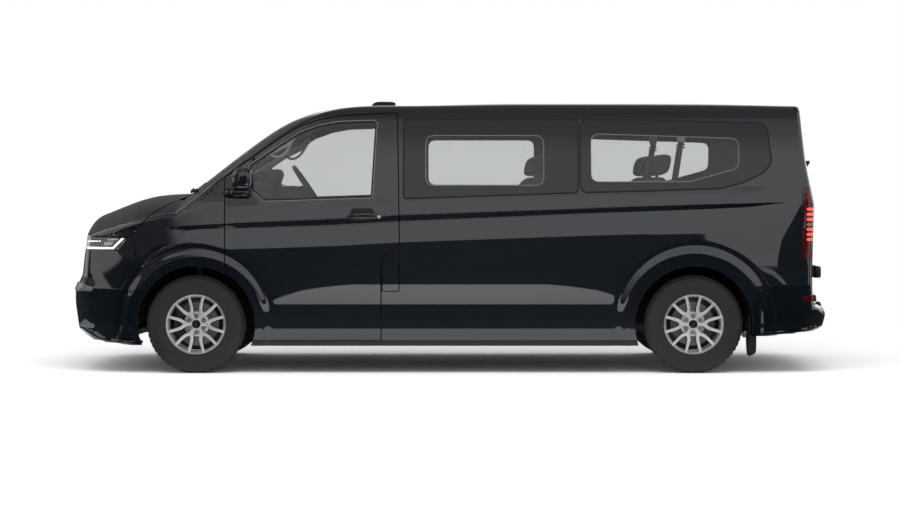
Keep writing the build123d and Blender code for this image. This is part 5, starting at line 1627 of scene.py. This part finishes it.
# --- Studio ---
# White surroundings with a soft light overhead. The floor is white to the eye and keeps the vehicle's shadow.
# Dark walls and floor strips stand round it only for what gloss paint mirrors, as in a photographer's studio.
scene = bpy.context.scene
scene.view_settings.view_transform = "Standard"
camera_data = bpy.data.cameras.new("camera")
camera_data.lens = 91.43
camera_data.sensor_width = 36
camera_data.clip_end = 200
camera = bpy.data.objects.new("camera", camera_data)
camera.location = (0, -17.0, 1.35)
camera.rotation_euler = (math.radians(90 - 1.801), 0, 0)
scene.collection.objects.link(camera)
scene.camera = camera


def seen_share(tree, rays):
    """One where the ray is any of the given kinds, as a socket."""
    kinds = add_node(tree, "ShaderNodeLightPath").outputs
    found = kinds[rays[0]]
    for ray in rays[1:]:
        found = add_node(tree, "ShaderNodeMath", {"operation": "MAXIMUM"}, None, i0=found, i1=kinds[ray]).outputs[0]
    return found


SEEN_RAYS = ("Is Camera Ray", "Is Glossy Ray", "Is Transmission Ray")
world = bpy.data.worlds.new("studio")
world.use_nodes = True
scene.world = world
tree = world.node_tree
share = seen_share(tree, SEEN_RAYS)
level = add_node(tree, "ShaderNodeMapRange", None, {3: 0.62, 4: 1.0}, Value=share)
tree.links.new(level.outputs["Result"], tree.nodes["Background"].inputs["Strength"])
tree.nodes["Background"].inputs["Color"].default_value = (1, 1, 1, 1)

floor_white = bpy.data.materials.new("matt_white_floor")
floor_white.use_nodes = True
tree = floor_white.node_tree
tree.nodes.remove(tree.nodes["Principled BSDF"])
share = seen_share(tree, SEEN_RAYS)
level = add_node(tree, "ShaderNodeMapRange", None, {3: 0.85, 4: 1.62}, Value=share)
tone = add_node(tree, "ShaderNodeCombineColor", Red=level.outputs[0], Green=level.outputs[0], Blue=level.outputs[0])
matt = add_node(tree, "ShaderNodeBsdfDiffuse", Color=tone.outputs[0])
tree.links.new(matt.outputs[0], tree.nodes["Material Output"].inputs["Surface"])
floor_mesh = bpy.data.meshes.new("floor")
floor_mesh.from_pydata([(-40, -40, 0), (40, -40, 0), (40, 40, 0), (-40, 40, 0)], [], [(0, 1, 2, 3)])
floor_mesh.materials.append(floor_white)
floor = bpy.data.objects.new("floor", floor_mesh)
scene.collection.objects.link(floor)
floor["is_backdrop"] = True

card_black = bpy.data.materials.new("black_studio_cloth")
card_black.use_nodes = True
set_sockets(card_black.node_tree.nodes["Principled BSDF"],
            {"Base Color": srgb("#0a1722"), "Roughness": 1.0, "Specular IOR Level": 0.0})


def soft_cloth(name, axis, clear, full, most):
    """The same cloth hung so that it thins out to nothing between two distances from the middle."""
    material = card_black.copy()
    material.name = name
    tree = material.node_tree
    place = add_node(tree, "ShaderNodeSeparateXYZ",
                     Vector=add_node(tree, "ShaderNodeTexCoord").outputs["Object"]).outputs[axis]
    away = add_node(tree, "ShaderNodeMath", {"operation": "ABSOLUTE"}, None, i0=place)
    share = add_node(tree, "ShaderNodeMapRange", {"interpolation_type": "SMOOTHSTEP"},
                     {1: clear, 2: full, 3: 0.0, 4: most}, Value=away.outputs[0])
    tree.links.new(share.outputs["Result"], tree.nodes["Principled BSDF"].inputs["Alpha"])
    return material


def studio_card(name, points, faces, material=card_black):
    """A dark cloth that only gloss sees."""
    mesh = bpy.data.meshes.new(name)
    mesh.from_pydata(points, [], faces)
    mesh.materials.append(material)
    card = bpy.data.objects.new(name, mesh)
    scene.collection.objects.link(card)
    card.visible_camera = card.visible_diffuse = card.visible_transmission = card.visible_shadow = False
    card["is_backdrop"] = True


def turned_about(rows, turn):
    """Rows of (out, across, up) turned about the vehicle's middle."""
    c, s = math.cos(math.radians(turn)), math.sin(math.radians(turn))
    return [(c * u - s * v, s * u + c * v, w) for u, v, w in rows]


CLOTH_Z, UNDER_CLOTH_Z, WALL_HIGH = 0.012, 0.010, 2.85
FLOOR_HALF, SPOT_HALF = 2.62, 1.45
FLOOR_CLOTHS = {
    "corner": rectangle(5.6, 8.5, 18, 20),
    "skirt": rectangle(2.05, 0.95, 3.5, 1.9),
}
across = np.linspace(-1, 1, 41)
arc = np.sqrt(np.maximum(1 - across ** 2, 0))
strips = [(i, i + 1, i + 42, i + 41) for i in range(40)]
for name, turn, near, far, half in (("left", -90, 6.6, 20, 4.4), ("right", 90, 6.6, 20, 4.4),
                                    ("front", 180, 8.2, 21.6, 3.0), ("rear", 0, 8.2, 21.6, 3.0)):
    rows = [(far, half * u, 0.0) for u in across] + [(far, half * u, WALL_HIGH * h) for u, h in zip(across, arc)]
    studio_card(f"{name}_wall", turned_about(rows, turn), strips)
    rows = [(reach, half * 1.15 * u, CLOTH_Z) for reach in (near, far) for u in across]
    studio_card(f"{name}_cloth", turned_about(rows, turn), strips)
for name, way in SIDES.items():
    spot = np.where(np.abs(across) < SPOT_HALF / FLOOR_HALF,
                    np.maximum(1 - (across * FLOOR_HALF / SPOT_HALF) ** 2, 0), 0) ** 0.5
    rows = [(3.17 + 4.45 * s, FLOOR_HALF * u, CLOTH_Z) for u, s in zip(across, spot)]
    rows += [(9.5, FLOOR_HALF * u, CLOTH_Z) for u in across]
    studio_card(f"{name}_floor_cloth", turned_about(rows, way * 90), strips)

angle = (np.arange(96) + 0.5) * 2 * math.pi / 96
out = np.stack([np.cos(angle), np.sin(angle)], 1)
corner = np.sign(out) * (FLOOR_HALF, 1.02)
for name, reaches, left_open in (("near_ring", (0.8, 2.15), ()), ("far_ring", (2.15, 8.5), (23, 71))):
    ring = np.concatenate([np.column_stack([corner + out * reach, np.full(96, CLOTH_Z)]) for reach in reaches])
    studio_card(name, ring.tolist(), [(i, (i + 1) % 96, (i + 1) % 96 + 96, i + 96)
                                      for i in range(96) if i not in left_open])
thin_ceiling = soft_cloth("thin_ceiling_cloth", "Y", clear=18.0, full=6.0, most=0.75)
studio_card("ceiling_cloth", [(-7, -18, 7.6), (7, -18, 7.6), (7, -5, 8.4), (-7, -5, 8.4), (7, 5, 8.4), (-7, 5, 8.4),
                              (7, 18, 7.6), (-7, 18, 7.6)], [(0, 1, 2, 3), (3, 2, 4, 5), (5, 4, 6, 7)], thin_ceiling)
for name, y, clear, full, high in (("front_left_screen", -20.0, 3.0, 6.4, 9.0),
                                   ("front_right_screen", 20.5, 2.2, 4.0, 16.0)):
    cloth = soft_cloth(f"{name}_cloth", "X", clear=clear, full=full, most=0.9)
    studio_card(name, [(-22, y, 0), (-clear, y, 0), (-clear, y, high), (-22, y, high)], [(0, 1, 2, 3)], cloth)

for name, way in SIDES.items():
    rows = [(13.3 + 6.7 * u, way * 20.2, 0.0) for u in across] + [
        (13.3 + 6.7 * u, way * 20.2, 2.1 * h) for u, h in zip(across, arc)]
    studio_card(f"{name}_rear_wall", rows, strips)
    for place, end in (("front", -1), ("rear", 1)):
        for label, outline in FLOOR_CLOTHS.items():
            studio_card(f"{name}_{label}_cloth_{place}", [(end * x, way * y, UNDER_CLOTH_Z) for x, y in outline],
                        [(0, 1, 2, 3)])

light_data = bpy.data.lights.new("overhead", "AREA")
light_data.shape = "RECTANGLE"
light_data.size, light_data.size_y = 12, 8
light_data.energy = 520
light = bpy.data.objects.new("overhead", light_data)
light.location = (0, -5.5, 8)
light.rotation_euler = (math.radians(-36), 0, 0)
light.visible_glossy = False
scene.collection.objects.link(light)

low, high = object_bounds()
